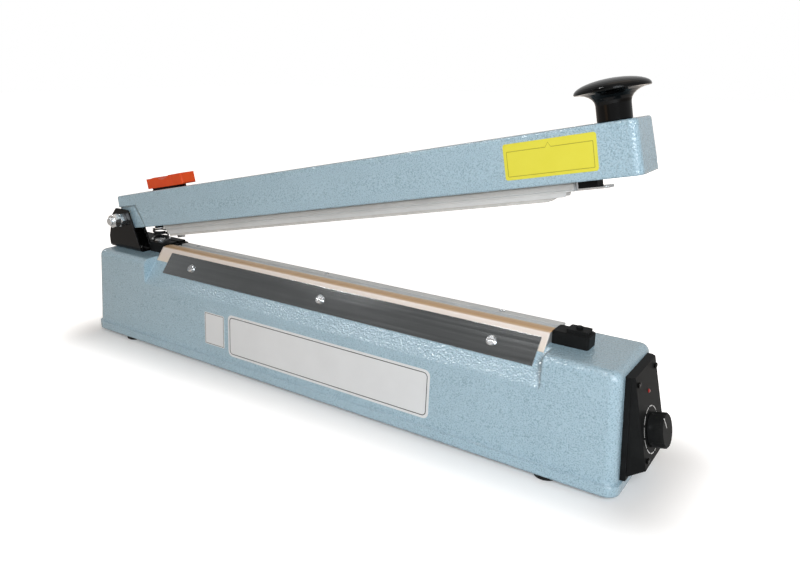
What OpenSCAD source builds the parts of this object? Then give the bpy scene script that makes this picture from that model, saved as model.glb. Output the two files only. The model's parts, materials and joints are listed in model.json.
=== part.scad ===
// Hand impulse sealer with a sliding cutter, drawn with its sealing arm raised.
// X runs from the hinge end to the dial end, Y from front to back, Z up from the soles of the feet.
// The base pieces are placed about the middle of the base, and the arm pieces about the hinge axis.

/* [Base casting] */
// Length of the clamp strip, which is the jaw length
strip_len = 410; // [340:5:460]
// Hinge end of the base, from its end to the clamp strip
hinge_end = 104.5; // [94:0.5:120]
// Dial end of the base, from the clamp strip to its end
dial_end = 73; // [70:1:95]
// Width over the skirt
base_w = 87; // [84:1:96]
// Height of the base top above the soles of the feet
base_top = 93.3; // [90:0.1:105]
// Height of the plain band round the foot of the casting
skirt_h = 8.3; // [6:0.1:11]
// Step between the skirt and the tapered wall
ledge = 2; // [1:0.5:3]
// Draft of the cast walls, in mm of lean per mm of height
draft = 0.065; // [0.05:0.005:0.1]
// Wall thickness of the casting
wall = 3; // [2.5:0.1:4]
// Radius of the upright corners
corner_r = 8; // [7:0.5:12]
// Radius of the edge round the top
top_r = 7; // [5:0.5:8]
// Slope of the bevel that carries the clamp strip
bevel_angle = 51.3; // [46:0.1:56]
// Distance of the ridge's front edge from the centre line, which the bevel leads up to
ridge_front = 11.05; // [9:0.05:12]
// Recess left of the clamp strip
recess_left = 19; // [14:0.5:24]
// Recess right of the clamp strip
recess_right = 10; // [7:0.5:14]

/* [Feet and floor plate] */
// Height of the rubber feet
foot_h = 4; // [3:0.5:8]
// Diameter of the rubber feet
foot_d = 19; // [16:0.5:20]
// Distance of a foot from the end of the base
foot_inset = 54.5; // [40:0.5:70]
// Distance of a foot from the side of the base
foot_side = 10.5; // [9.5:0.5:14]
// Thickness of the floor plate
plate_t = 1.5; // [1:0.1:2]
// Width of one vent slot
vent_w = 4; // [3:0.5:5]
// Number of vent slots
vent_count = 9; // [4:1:12]

/* [Sealing ridge] */
// Height of the ridge above the base top
ridge_h = 8.4; // [7:0.1:11]
// Depth of the flat crest, from front to back
ridge_crest = 12; // [11:0.5:13]
// Ridge beyond the clamp strip at the hinge end
ridge_left = 18.7; // [17:0.1:20]
// Ridge beyond the clamp strip at the dial end
ridge_right = 5; // [4:0.5:6]
// Width of the heating ribbon
ribbon_w = 2.5; // [2:0.1:4]
// Thickness of the heating ribbon
ribbon_t = 0.2; // [0.15:0.05:0.3]
// Thickness of the coated cloth over the ridge
cloth_t = 0.2; // [0.15:0.05:0.3]
// Thickness of the insulating tape under the ribbon
tape_t = 0.3; // [0.2:0.05:0.5]
// Width of the clamp strip
strip_w = 23; // [18:0.5:24]
// Thickness of the clamp strip
strip_t = 1; // [0.8:0.1:1.5]

/* [Cutter rail] */
// Depth of the rail, from front to back
rail_d = 17; // [15:0.5:19]
// Height of the rail above the base top
rail_h = 8; // [6.5:0.1:8.6]
// Width of the groove that the blade runs in
groove_w = 3; // [2.5:0.1:4]
// Depth of the groove
groove_d = 5; // [4:0.1:6]

/* [Hinge] */
// Distance of the hinge axis from the end of the base
hinge_in = 35.5; // [32:0.5:42]
// Height of the hinge axis above the base top
hinge_h = 33.2; // [32:0.1:36]
// Angle by which the arm stands open
open_angle = 11.25; // [6:0.25:12]
// Width of the bracket over its ears
bracket_w = 15; // [14:0.5:17]
// Distance of the front ear's face from the centre line
bracket_front = 20.5; // [20:0.5:22]
// Thickness of the bracket plate
bracket_t = 2; // [1.5:0.1:2.5]
// Diameter of the hinge bolt
bolt_d = 8; // [6:0.5:9]
// Running clearance round shafts
run_gap = 0.05; // [0.02:0.01:0.1]

/* [Sealing arm] */
// Width of the arm at its open underside
arm_w = 40.2; // [37:0.2:41]
// Height of the arm
arm_h = 35.7; // [33:0.1:40]
// Draft of the arm's walls, in mm of lean per mm of height
arm_draft = 0.04; // [0.02:0.005:0.05]
// Depth of the arm's lower edge below the hinge axis
arm_drop = 11; // [9:0.1:12]
// Arm beyond the hinge axis at the hinge end
arm_tail = 6.8; // [4:0.1:8]
// Gap from the arm's end to the end of the base, arm closed
arm_end_gap = 3.5; // [2:0.5:10]
// Wall thickness of the arm
arm_wall = 3; // [2.5:0.1:3.5]
// Width of the slot that the cutter slides in
slot_w = 6; // [5:0.5:7]
// Distance of the cutter slot behind the centre line
slot_y = 8; // [7.5:0.5:9]
// Diameter of the knob's stem
stem_d = 23; // [18:0.5:26]
// Diameter of the knob's cap
cap_d = 49.5; // [40:0.5:56]
// Height of the knob
handle_h = 27.3; // [24:0.1:34]

/* [Pressure bar] */
// Depth of the pressure bar, from front to back
bar_d = 11; // [9:0.5:12]
// Width of the rubber strip
rubber_w = 8; // [6:0.5:9]
// Thickness of the rubber strip that shows
rubber_show = 2.4; // [1.5:0.1:3]
// Thickness of the carrier that holds the rubber strip
carrier_h = 3.4; // [3:0.1:5]
// Clear gap over the cloth with the arm closed
closed_gap = 0.3; // [0.3:0.05:0.6]

/* [Cutter] */
// Length of the cutter knob
cutter_len = 59; // [56:0.5:70]
// Width of the cutter knob
cutter_w = 18; // [14:0.5:20]
// Distance from the hinge axis to the parked cutter knob
cutter_park = 25.5; // [20:0.5:27]
// Length of the blade
blade_len = 20; // [14:1:24]
// Thickness of the blade
blade_t = 0.6; // [0.4:0.1:0.8]

/* [Dial panel] */
// Panel depth at its top
panel_top_d = 6; // [5:0.5:9]
// Panel depth at its foot
panel_low_d = 16; // [14:0.5:19]
// Half width of the panel's face
panel_half = 25; // [22:0.5:26]
// Height of the dial axis above the soles
dial_h = 43.6; // [40:0.1:50]
// Distance of the dial axis in front of the centre line
dial_front = 3; // [0:0.5:4]
// Diameter of the dial knob
dial_d = 25.2; // [22:0.2:30]
// Length of the dial knob
dial_len = 10.5; // [9:0.5:16]
// Clear gap between the knob and the panel
dial_gap = 0.6; // [0.4:0.1:1]
// Diameter of the dial shaft
shaft_d = 6; // [4:0.5:6]
// Angle at which the dial stands, from straight up towards the front
dial_set = 24; // [-120:1:120]

/* [Switch block] */
// Length of the switch block
block_len = 28; // [27:0.5:32]
// Depth of the switch block, from front to back
block_d = 16; // [15:0.5:20]
// Height of the switch block above the base top
block_h = 10; // [9:0.5:11]
// Height of its raised pad
pad_h = 2.7; // [2:0.1:3]
// Diameter of the switch plunger
plunger_d = 5; // [4:0.5:6]
// Travel of the switch plunger
plunger_travel = 1.5; // [1:0.1:2]

/* [Hidden] */

// Smoothness of turned surfaces
$fn = 64;
// Small overlap that makes a cut pass right through its wall
cut = 1;
// Clearance of a screw in its hole
screw_gap = 0.1;
// Clearance between pieces that move past each other
slide_gap = 0.4;

// Paint and material colours
paint = "#A3C3D1";
black = "#1F2020";
steel = "#C9CCCE";
dull_steel = "#8E9092";
brass = "#C7A75A";
rubber = "#2A2A2A";
alloy = "#CDD1CF";

// Overall sizes of the base
base_len = hinge_end + strip_len + dial_end;
half_l = base_len / 2;
half_w = base_w / 2;
skirt_top = foot_h + skirt_h;
strip_x0 = -half_l + hinge_end;
strip_x1 = strip_x0 + strip_len;
recess_x0 = strip_x0 - recess_left;
recess_x1 = strip_x1 + recess_right;
inner_top = base_top - wall;

// Half length and half width of the tapered body at height z
function side_l(z) = half_l - ledge - draft * (z - skirt_top);
function side_w(z) = half_w - ledge - draft * (z - skirt_top);
// Y of the bevel at height z, and of the same plane lifted off by t
ridge_top = base_top + ridge_h;
function bevel_y(z) = -ridge_front + (z - ridge_top) / tan(bevel_angle);
function lifted_y(z, t) = bevel_y(z) - t / sin(bevel_angle);
// Height at which the bevel leaves the front wall
bevel_low = (ridge_front - half_w + ledge - draft * skirt_top + ridge_top / tan(bevel_angle))
  / (1 / tan(bevel_angle) - draft);

// Ridge and the stack of tape, ribbon and cloth on it
ridge_x0 = strip_x0 - ridge_left;
ridge_x1 = strip_x1 + ridge_right;
crest_y0 = -ridge_front;
crest_y1 = crest_y0 + ridge_crest;
crest_r = 1.2;
jaw_y = (crest_y0 + crest_y1) / 2;
tape_w = 8;
tape_top = ridge_top + tape_t;
ribbon_top = tape_top + ribbon_t;
cloth_top = ribbon_top + cloth_t;
cloth_back = base_top + 3;
crest_mid = crest_y0 + crest_r * tan(bevel_angle / 2);
function crest_arc(r) = [for (i = [0:4]) let (a = 90 + bevel_angle * (1 - i / 4))
  [crest_mid + r * cos(a), ridge_top - crest_r + r * sin(a)]];
terminal_l = 7;
terminal_w = 3.6;
terminal_h = 5;
ribbon_drop = ridge_h - 2;
strip_mid = (bevel_low + ridge_top) / 2 + 4.1;
cloth_low = strip_mid + 2.5;
strip_lift = cloth_t + 0.03;
clamp_places = [for (f = [0.09, 0.5, 0.91]) strip_x0 + f * strip_len];
screw_d = 4;

// Cutter rail
rail_x0 = strip_x0 - 14;
rail_x1 = ridge_x1;
rail_y0 = crest_y1 + 0.3;
rail_y1 = rail_y0 + rail_d;
rail_top = base_top + rail_h;
rail_screw_d = 3;
rail_screw_y = (slot_y + groove_w / 2 + rail_y1) / 2;
rail_places = [for (f = [0.05, 0.46, 0.88]) rail_x0 + f * (rail_x1 - rail_x0)];

// Hinge bracket
hinge_x = -half_l + hinge_in;
hinge_z = base_top + hinge_h;
ear_y0 = -bracket_front;
ear_y1 = ear_y0 + bracket_w;
ear_top = 10.6;
bracket_r = 4;
bracket_x = [hinge_x - 14, hinge_x + 14];
bracket_y = (ear_y0 + ear_y1) / 2;
bracket_screw_d = 5;
nut_flats = bolt_d + 5;
nut_h = bolt_d * 0.85;
bolt_end = 17.5;

// Arm, in its own frame with the origin on the hinge axis
arm_x1 = half_l - arm_end_gap - hinge_x;
arm_y = arm_w / 2;
arm_r = 5;
arm_low = -arm_drop;
arm_high = arm_low + arm_h;
arm_lean = arm_draft * arm_h;
web_z = arm_high - arm_wall;
lug_y0 = ear_y0 + bracket_t + 2.6;
lug_y1 = ear_y1 - bracket_t - 0.3;
lug_x1 = 36;
notch_top = ear_top + 2.4;
notch_r = 18;
notch_x = 23;
notch_lean = 20;
bush_flange = 8;
bush_r = bolt_d / 2 + 2;
stem_x = arm_x1 - 20.8;
handle_bolt_d = 6;
slot_x0 = 24;
slot_x1 = stem_x - stem_d / 2 - 6;

// Pressure bar and its rubber, which meets the cloth when the arm is down
jaw_low = cloth_top + closed_gap - hinge_z;
carrier_low = jaw_low + rubber_show;
carrier_top = carrier_low + carrier_h;
rubber_seat = 1.4;
bar_top = carrier_top + 12;
bar_x0 = ridge_x0 - hinge_x - 4.3;
bar_x1 = ridge_x1 - hinge_x + 15;
carrier_x0 = bar_x0 + 9;
carrier_x1 = bar_x1 - 6;
rubber_x0 = carrier_x0 + 2;
rubber_x1 = bar_x1 - 16;
bar_places = [for (f = [0.12, 0.5, 0.88]) bar_x0 + f * (bar_x1 - bar_x0)];
bar_screw_d = 4;
bar_head_d = 7;
bar_head_h = 2.6;

// Return spring beside the bracket, with its seat on the end block
end_x0 = hinge_x - 14;
end_x1 = rail_x0 - 0.1;
end_y0 = ear_y1 + 0.3;
end_y1 = rail_y1;
end_front = jaw_y - 4;
end_top = ridge_top + 2;
seat_r = 10;
seat_t = 1.5;
pad_x = 27;
pad_r = 6;
pad_h_arm = 3.5;
washer_r = 9;
washer_t = 1.2;
washer_low = arm_low - pad_h_arm - washer_t;
spring_x = hinge_x + pad_x + 1.2;
spring_y = end_y0 + 9.5;
spring_r = 7.5;
wire_d = 1.8;
spring_z0 = end_top + seat_t;
spring_z1 = hinge_z + pad_x * sin(open_angle) + washer_low * cos(open_angle)
  - washer_r * sin(open_angle) - 0.3;

// Switch block, its plunger and the micro switch below
block_x0 = ridge_x1;
block_x1 = block_x0 + block_len;
block_y0 = end_front;
block_y1 = block_y0 + block_d;
block_top = base_top + block_h;
block_wall = 1.6;
pad_top = block_top + pad_h;
plunger_x = block_x0 + 18;
plunger_y = (block_y0 + block_y1) / 2;
plunger_show = 2;
plunger_top = pad_top + plunger_show;
micro_l = 15;
micro_w = 6.4;
micro_top = base_top + 4.2;
button_top = micro_top + 0.9;
plunger_low = button_top + plunger_travel + 0.3;

// Striker under the arm, which meets the plunger when the arm is down
striker_low = plunger_top + closed_gap - hinge_z;
striker_t = 1.5;
striker_y0 = plunger_y - 6;
striker_y1 = plunger_y + 6;
striker_x0 = bar_x1 + 0.3;
boss_low = arm_low + 8.8;
striker_l = 22;

// Cutter, parked at the hinge end
cutter_x0 = cutter_park;
cutter_z = arm_high + 2.2;
shoe_x0 = slot_x0 + 1;
shoe_x1 = shoe_x0 + 50;
foot_t = 2.5;
holder_t = 3.2;
holder_low = -19;
blade_low = rail_top - 2.8 - hinge_z;
blade_x0 = shoe_x0 + 28 - blade_len / 2;

// Dial panel and the parts behind it
panel_low = skirt_top + 1.2;
panel_high = base_top - 5;
face_low = panel_low + 9.5;
flange_t = 4;
flange_half = 31;
flange_lean = 5;
panel_wall = 2.5;
face_x_low = side_l(face_low) + panel_low_d;
face_x_high = side_l(panel_high) + panel_top_d;
face_tilt = atan((face_x_low - face_x_high) / (panel_high - face_low));
function face_x(z) = face_x_low - (z - face_low) * tan(face_tilt);
panel_places = [[-panel_half + 5, panel_high - 6], [panel_half - 5, panel_high - 6],
  [-panel_half + 5, face_low + 5], [panel_half - 5, face_low + 5]];
panel_screw_d = 3;
bush_d = shaft_d + 1.4;
lamp_d = 3;
lamp_rise = 27.8;
dial_y = -dial_front;
dial_x = face_x(dial_h);
dial_chamfer = 1;
dial_recess = 3.6;
dial_reach = (dial_gap + dial_len) * cos(face_tilt) + (dial_d / 2 - dial_chamfer) * sin(face_tilt);

// The origin is under the middle of the whole object, whose dial knob stands out past the base
frame_shift = (dial_x + dial_reach - half_l) / 2;

// Floor plate, feet and the bosses that they are screwed to
foot_x = half_l - foot_inset;
foot_y = half_w - foot_side;
boss_d = 10;
boss_h = 26;
plate_z = foot_h;
boss_z = plate_z + plate_t;
foot_places = [for (x = [-1, 1], y = [-1, 1]) [x * foot_x, y * foot_y]];
plate_places = [for (x = [-0.5, 0.5], y = [-1, 1]) [x * foot_x, y * foot_y]];
screw_head = 8;

// Transformer, timer board and terminal block on the floor plate
core_x = -60;
core_y = 3;
leg = 11;
core_l = 6 * leg;
core_h = 5 * leg;
core_stack = 32;
clamp_t = 1.2;
core_screws = [for (x = [-1, 1]) core_x + x * (core_l / 2 + 7)];
board_l = 96;
board_x1 = half_l - 34;
board_x0 = board_x1 - board_l;
board_w = 48;
board_t = 1.6;
board_z = boss_z + 8;
board_places = [for (x = [board_x0 + 5, board_x1 - 5], y = [-19, 19]) [x, y]];
mains_x = -half_l + 112;
mains_y = half_w - 29.5;

// Grommet for the mains lead in the back wall
grommet_x = -half_l + 75;
grommet_z = 30;
grommet_r = 6;
grommet_flange = 2;
cord_r = 3.6;
pad_y = half_w - grommet_flange;
pad_depth = 8;

module on_bench() {
  translate([-frame_shift, 0, 0]) children();
}

module on_arm() {
  translate([hinge_x - frame_shift, 0, hinge_z]) rotate([0, -open_angle, 0]) children();
}

module on_dial() {
  translate([dial_x - frame_shift, dial_y, dial_h]) rotate([0, 90 - face_tilt, 0]) children();
}

// Carries a Y-Z outline along X
module along_x(x0, x1) {
  translate([x0, 0, 0]) rotate([90, 0, 90]) linear_extrude(x1 - x0) children();
}

// Carries an X-Z outline along Y
module along_y(y0, y1) {
  translate([0, y1, 0]) rotate([90, 0, 0]) linear_extrude(y1 - y0) children();
}

// Box between two corners
module block(a, b) {
  translate(a) cube(b - a);
}

// Cylinder along Y between two planes
module rod_y(r, y0, y1) {
  translate([0, y1, 0]) rotate([90, 0, 0]) cylinder(r = r, h = y1 - y0);
}

// Plate outline with round corners
module round_rect(l, w, r) {
  square([l - 2 * r, w], center = true);
  square([l, w - 2 * r], center = true);
  for (x = [-1, 1], y = [-1, 1]) translate([x * (l / 2 - r), y * (w / 2 - r)]) circle(r);
}

// Slot outline with round ends, along X
module slot_shape(l, w) {
  square([l - w, w], center = true);
  for (x = [-1, 1]) translate([x * (l - w) / 2, 0]) circle(d = w);
}

// Slotted screw: head below z = 0 and shank above it
module pan_screw(head_d, head_h, shank_d, shank_l) {
  difference() {
    rotate_extrude() polygon([[0, -head_h], [head_d * 0.35, -head_h], [head_d / 2, -head_h * 0.6],
      [head_d / 2, 0], [shank_d / 2, 0], [shank_d / 2, shank_l], [0, shank_l]]);
    block([-head_d, -head_d * 0.08, -head_h - cut], [head_d, head_d * 0.08, -head_h * 0.55]);
  }
}

// Hexagon of a nut or bolt head with turned corners, from z = 0 upwards
module hex_body(flats, h) {
  corner = flats / cos(30) / 2;
  intersection() {
    cylinder(r = corner, h = h, $fn = 6);
    rotate_extrude() polygon([[0, 0], [flats / 2, 0], [corner, h * 0.14], [corner, h * 0.86],
      [flats / 2, h], [0, h]]);
  }
}

// Round wire coiled about Z, as one swept tube
module coil(mean_r, wire, height, turns) {
  sides = 8;
  steps = 20 * turns;
  points = [for (i = [0:steps], k = [0:sides - 1])
    let (a = 360 * turns * i / steps, b = 360 * k / sides, r = mean_r + cos(b) * wire / 2)
    [r * cos(a), r * sin(a), wire / 2 + (height - wire) * i / steps + sin(b) * wire / 2]];
  walls = [for (i = [0:steps - 1], k = [0:sides - 1]) let (n = (k + 1) % sides)
    [i * sides + k, (i + 1) * sides + k, (i + 1) * sides + n, i * sides + n]];
  first = [for (k = [0:sides - 1]) k];
  last = [for (k = [sides - 1:-1:0]) steps * sides + k];
  polyhedron(points, concat([first], walls, [last]), convexity = 6);
}

// Corner post of the tapered body with a rounded upper edge, its top face at z = 0
module soft_corner(r_side, r_edge) {
  rotate_extrude($fn = 32) polygon(concat([[0, -r_edge]],
    [for (a = [0:15:90]) [r_side - r_edge + r_edge * cos(a), r_edge * sin(a) - r_edge]], [[0, 0]]));
}

// Tapered body of the base, shrunk by inset, with its upper edge rounded by r_edge
module tapered_body(z0, z1, inset, r_edge) {
  r = corner_r - inset;
  e = min(r_edge, r);
  hull() for (x = [-1, 1], y = [-1, 1]) {
    translate([x * (side_l(z0) - inset - r), y * (side_w(z0) - inset - r), z0])
      cylinder(r = r, h = 0.01, $fn = 32);
    translate([x * (side_l(z1 - e) - inset - r), y * (side_w(z1 - e) - inset - r), z1])
      soft_corner(r, e);
  }
}

// Everything in front of the bevel, pushed in by t
module bevel_wedge(x0, x1, t) {
  low = bevel_low - 12;
  high = base_top + 12;
  along_x(x0, x1) polygon([[-base_w, low], [lifted_y(low, -t), low], [lifted_y(high, -t), high],
    [-base_w, high]]);
}

// Places its children at the clamp screws, with Z square to the bevel and out of it
module at_clamp_screws() {
  for (x = clamp_places) translate([x, bevel_y(strip_mid), strip_mid]) rotate([bevel_angle, 0, 0])
    children();
}

// Cast aluminium shell with its skirt, bevelled front, bosses and openings
module base_housing() {
  color(paint) on_bench() difference() {
    union() {
      translate([0, 0, foot_h]) linear_extrude(skirt_h)
        round_rect(base_len, base_w, corner_r + ledge);
      difference() {
        tapered_body(skirt_top - 0.1, base_top, 0, top_r);
        bevel_wedge(recess_x0, recess_x1, 0);
      }
      translate([grommet_x, pad_y, grommet_z]) rotate([90, 0, 0])
        cylinder(r = grommet_r + 5, h = pad_depth);
    }
    difference() {
      tapered_body(foot_h - cut, inner_top, wall, 3);
      bevel_wedge(recess_x0 - wall, recess_x1 + wall, wall);
      for (p = concat(foot_places, plate_places)) translate([p[0], p[1], boss_z]) {
        cylinder(d = boss_d, h = boss_h);
        block([-2, min(0, sign(p[1]) * boss_d), 0], [2, max(0, sign(p[1]) * boss_d), boss_h]);
      }
      at_clamp_screws() translate([0, 0, -wall - 6]) cylinder(d = 9, h = 8);
      translate([grommet_x, pad_y, grommet_z]) rotate([90, 0, 0])
        cylinder(r = grommet_r + 5, h = pad_depth);
    }
    for (p = concat(foot_places, plate_places)) translate([p[0], p[1], boss_z - cut])
      cylinder(d = screw_d + screw_gap, h = 16 + cut);
    at_clamp_screws() translate([0, 0, -wall - 7]) cylinder(d = screw_d + screw_gap, h = wall + 12);
    for (x = rail_places) translate([x, rail_screw_y, base_top - wall - cut])
      cylinder(d = rail_screw_d + screw_gap, h = wall + 2 * cut);
    for (x = bracket_x) translate([x, bracket_y, base_top - 14])
      cylinder(d = bracket_screw_d + screw_gap, h = 14 + cut);
    // Openings for the micro switch and for the leads of the ribbon
    block([plunger_x - micro_l / 2 - slide_gap, plunger_y - micro_w / 2 - slide_gap, inner_top - cut],
      [plunger_x + micro_l / 2 + slide_gap, plunger_y + micro_w / 2 + slide_gap, base_top + cut]);
    block([block_x0 + 1.5, jaw_y + terminal_w / 2 + 0.5, inner_top - cut],
      [block_x0 + 6, jaw_y + terminal_w / 2 + 6.5, base_top + cut]);
    block([ridge_x0 - 8, jaw_y + terminal_w / 2 + 0.5, inner_top - cut],
      [ridge_x0 - 3, jaw_y + terminal_w / 2 + 6.5, base_top + cut]);
    // Window behind the dial panel
    block([half_l - 14, dial_y - 14, dial_h - 16], [half_l + cut, dial_y + 17, dial_h + 34]);
    translate([grommet_x, half_w + cut, grommet_z]) rotate([90, 0, 0])
      cylinder(r = grommet_r, h = 16);
    for (p = panel_places) translate([half_l - 16, p[0], p[1]]) rotate([0, 90, 0])
      cylinder(d = panel_screw_d + screw_gap, h = 20);
  }
}

// Sheet steel floor with its vent slots
module floor_plate() {
  color(dull_steel) on_bench() difference() {
    translate([0, 0, plate_z]) linear_extrude(plate_t)
      round_rect(2 * (side_l(boss_z) - wall - 0.4), 2 * (side_w(boss_z) - wall - 0.4), corner_r - wall);
    for (p = concat(foot_places, plate_places)) translate([p[0], p[1], plate_z - cut])
      cylinder(d = screw_d + screw_gap, h = plate_t + 2 * cut);
    for (i = [0:vent_count - 1], y = [-1, 1])
      translate([40 + (i - (vent_count - 1) / 2) * vent_w * 2.2, y * 13, plate_z - cut])
        linear_extrude(plate_t + 2 * cut) rotate(90) slot_shape(18, vent_w);
    for (x = core_screws) translate([x, core_y, plate_z - cut])
      cylinder(d = screw_d + screw_gap, h = plate_t + 2 * cut);
    for (p = board_places) translate([p[0], p[1], plate_z - cut])
      cylinder(d = 3 + screw_gap, h = plate_t + 2 * cut);
  }
}

// Screws that hold the floor plate between the feet
module floor_plate_screws() {
  color(steel) on_bench() for (p = plate_places) translate([p[0], p[1], plate_z])
    pan_screw(screw_head, 2.4, screw_d, 14);
}

// Round rubber feet, hollow in the middle for their screws
module rubber_feet() {
  color(rubber) on_bench() for (p = foot_places) translate([p[0], p[1], 0]) difference() {
    union() {
      cylinder(d1 = foot_d - 1.4, d2 = foot_d, h = 0.7);
      translate([0, 0, 0.7]) cylinder(d = foot_d, h = foot_h - 0.7);
    }
    translate([0, 0, -cut]) cylinder(d = screw_head + 1, h = foot_h - 1.2 + cut);
    translate([0, 0, -cut]) cylinder(d = screw_d + screw_gap, h = foot_h + 2 * cut);
  }
}

// Screws that hold the feet and the corners of the floor plate
module foot_screws() {
  color(steel) on_bench() for (p = foot_places) translate([p[0], p[1], foot_h - 1.2])
    pan_screw(screw_head, 1.6, screw_d, 15);
}

// Wedge moulding shrunk by t: a flange against the wall and a tilted face with sloped flanks
module panel_solid(t) {
  high = panel_high - t;
  module back_edge(z, half, back) {
    translate([side_l(z) - flange_t, back + t - half, z])
      cube([flange_t * 2 - t - back, 2 * (half - t - back), 0.5]);
  }
  hull() {
    back_edge(panel_low + t, flange_half, 0);
    back_edge(high - 0.5, flange_half - flange_lean, 0);
  }
  hull() {
    back_edge(panel_low + t + 2, flange_half - 2, 0.6);
    back_edge(high - 0.5, flange_half - flange_lean, 0.6);
    translate([face_x_low - 3 - t, -panel_half + t, face_low - 0.5]) cube([3, 2 * (panel_half - t), 0.5]);
    translate([face_x(high) - 3 - t, -panel_half + 1 + t, high - 0.5])
      cube([3, 2 * (panel_half - 1 - t), 0.5]);
  }
}

// Panel moulding with its dial hole, lamp hole and screw posts
module control_panel() {
  color(black) difference() {
    on_bench() difference() {
      panel_solid(0);
      difference() {
        panel_solid(panel_wall);
        for (p = panel_places, y = sign(p[0]), z = sign(p[1] - dial_h))
          block([0, min(p[0] - 4 * y, base_w * y), min(p[1] - 4 * z, p[1] + 30 * z)],
            [half_l + 30, max(p[0] - 4 * y, base_w * y), max(p[1] - 4 * z, p[1] + 30 * z)]);
      }
      tapered_body(skirt_top - 0.1, base_top, 0, top_r);
      for (p = panel_places) translate([half_l - 16, p[0], p[1]]) rotate([0, 90, 0])
        cylinder(d = panel_screw_d + screw_gap, h = 40);
    }
    on_dial() translate([0, 0, -8]) cylinder(d = bush_d + screw_gap, h = 10);
    on_dial() translate([-lamp_rise, dial_front, -8]) cylinder(d = lamp_d + screw_gap, h = 10);
  }
}

// Screws at the corners of the panel's face
module panel_screws() {
  color(black) on_bench() for (p = panel_places) translate([face_x(p[1]) + 0.65, p[0], p[1]])
    rotate([0, -90, 0]) pan_screw(4.4, 1, panel_screw_d, 24);
}

// Red lens of the sealing lamp, held from behind by its collar
module indicator_lamp() {
  r = lamp_d / 2;
  back = -panel_wall;
  color("#B3201C") on_dial() translate([-lamp_rise, dial_front, 0]) rotate_extrude()
    polygon([[0, back - 2], [r + 0.7, back - 2], [r + 0.7, back], [r, back], [r, 0.4], [r - 0.7, 1.1], [0, 1.1]]);
}

// Potentiometer with its threaded bush and three tags
module dial_potentiometer() {
  color(dull_steel) on_dial() difference() {
    union() {
      translate([0, 0, -panel_wall - 10]) cylinder(d = 17, h = 10);
      translate([0, 0, -panel_wall - 0.1]) cylinder(d = bush_d, h = panel_wall + 3);
      for (i = [-1:1]) block([8, i * 4 - 1, -panel_wall - 8], [12, i * 4 + 1, -panel_wall - 7.4]);
    }
    translate([0, 0, -panel_wall - 8]) cylinder(d = shaft_d + 2 * run_gap, h = 14);
  }
}

// Nut that holds the potentiometer, hidden in the hollow of the knob
module dial_nut() {
  color(brass) on_dial() difference() {
    hex_body(bush_d + 3, 1.8);
    translate([0, 0, -cut]) cylinder(d = bush_d + screw_gap, h = 4);
  }
}

// Turned dial knob with six round-ended grip flutes and a hollow underside
module timer_knob() {
  r = dial_d / 2;
  color(black) on_dial() translate([0, 0, dial_gap]) difference() {
    rotate_extrude() polygon([[0, 0], [r, 0], [r, dial_len - dial_chamfer], [r - dial_chamfer, dial_len],
      [0, dial_len]]);
    translate([0, 0, -cut]) cylinder(d = bush_d + 9, h = dial_recess + cut);
    cylinder(d = shaft_d + screw_gap, h = dial_len - 2);
    for (a = [0:60:300]) rotate(a) translate([r + 3.1, 0, 3.6]) {
      cylinder(r = 4, h = dial_len);
      sphere(r = 4);
    }
    // Groove of the pointer line
    rotate(dial_set) block([0.6 - r, -0.6, dial_len - 0.5], [-2.4, 0.6, dial_len + cut]);
  }
}

// Shaft that turns in the potentiometer and carries the knob
module timer_shaft() {
  color(steel) on_dial() translate([0, 0, -panel_wall - 7.7])
    cylinder(d = shaft_d, h = panel_wall + 7.7 + dial_gap + dial_len - 2.2);
}

// Timer circuit board
module timer_board() {
  color("#2F6B45") on_bench() difference() {
    block([board_x0, -board_w / 2, board_z], [board_x1, board_w / 2, board_z + board_t]);
    for (p = board_places) translate([p[0], p[1], board_z - cut])
      cylinder(d = 3 + screw_gap, h = board_t + 2 * cut);
  }
}

// Relay, capacitors, cooling fin and terminals that stand on the board
module board_parts() {
  top = board_z + board_t;
  color("#3A4E8C") on_bench() {
    block([board_x0 + 12, -16, top], [board_x0 + 32, 0, top + 15]);
    for (p = [[44, -8, 13, 22], [60, -12, 8, 12], [60, 2, 8, 12], [72, -6, 10, 16]])
      translate([board_x0 + p[0], p[1], top]) cylinder(d = p[2], h = p[3]);
    block([board_x0 + 14, 8, top], [board_x0 + 38, 11, top + 26]);
    for (i = [0:2]) difference() {
      block([board_x0 + 82, -14 + i * 7, top], [board_x0 + 92, -8 + i * 7, top + 10]);
      translate([board_x0 + 87, -11 + i * 7, top + 3]) cylinder(d = 3.4, h = 10);
    }
    for (i = [0:3]) block([board_x0 + 46 + i * 8, 12, top], [board_x0 + 49 + i * 8, 20, top + 2.4]);
  }
}

// Snap-in supports between the floor plate and the board
module board_standoffs() {
  color("#E6E4DC") on_bench() for (p = board_places) translate([p[0], p[1], plate_z]) {
    cylinder(d = 3, h = board_z + board_t - plate_z + 1);
    translate([0, 0, plate_t]) cylinder(d = 6, h = board_z - boss_z);
    translate([0, 0, board_z + board_t - plate_z]) cylinder(d1 = 4.6, d2 = 2, h = 2);
  }
}

// Laminated core with two windows round its middle leg
module transformer_core() {
  color("#6F7276") on_bench() along_y(core_y - core_stack / 2, core_y + core_stack / 2) difference() {
    translate([core_x - core_l / 2, boss_z]) square([core_l, core_h]);
    for (x = [-1.5, 1.5]) translate([core_x + x * leg - leg / 2, boss_z + leg]) square([leg, 3 * leg]);
  }
}

// Winding on its bobbin, round the middle leg
module transformer_coil() {
  color("#B98A3E") on_bench() translate([core_x, core_y, boss_z + leg + 0.1]) difference() {
    union() {
      linear_extrude(3 * leg - 0.2) round_rect(4 * leg - 3, core_stack + leg, 4);
      for (z = [0, 3 * leg - 1.7]) translate([0, 0, z]) linear_extrude(1.5)
        round_rect(4 * leg - 0.4, core_stack + leg + 5, 2);
    }
    translate([0, 0, 1.5 * leg]) cube([leg * 2 + 0.1, core_stack + 0.1, 4 * leg], center = true);
  }
}

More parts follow.
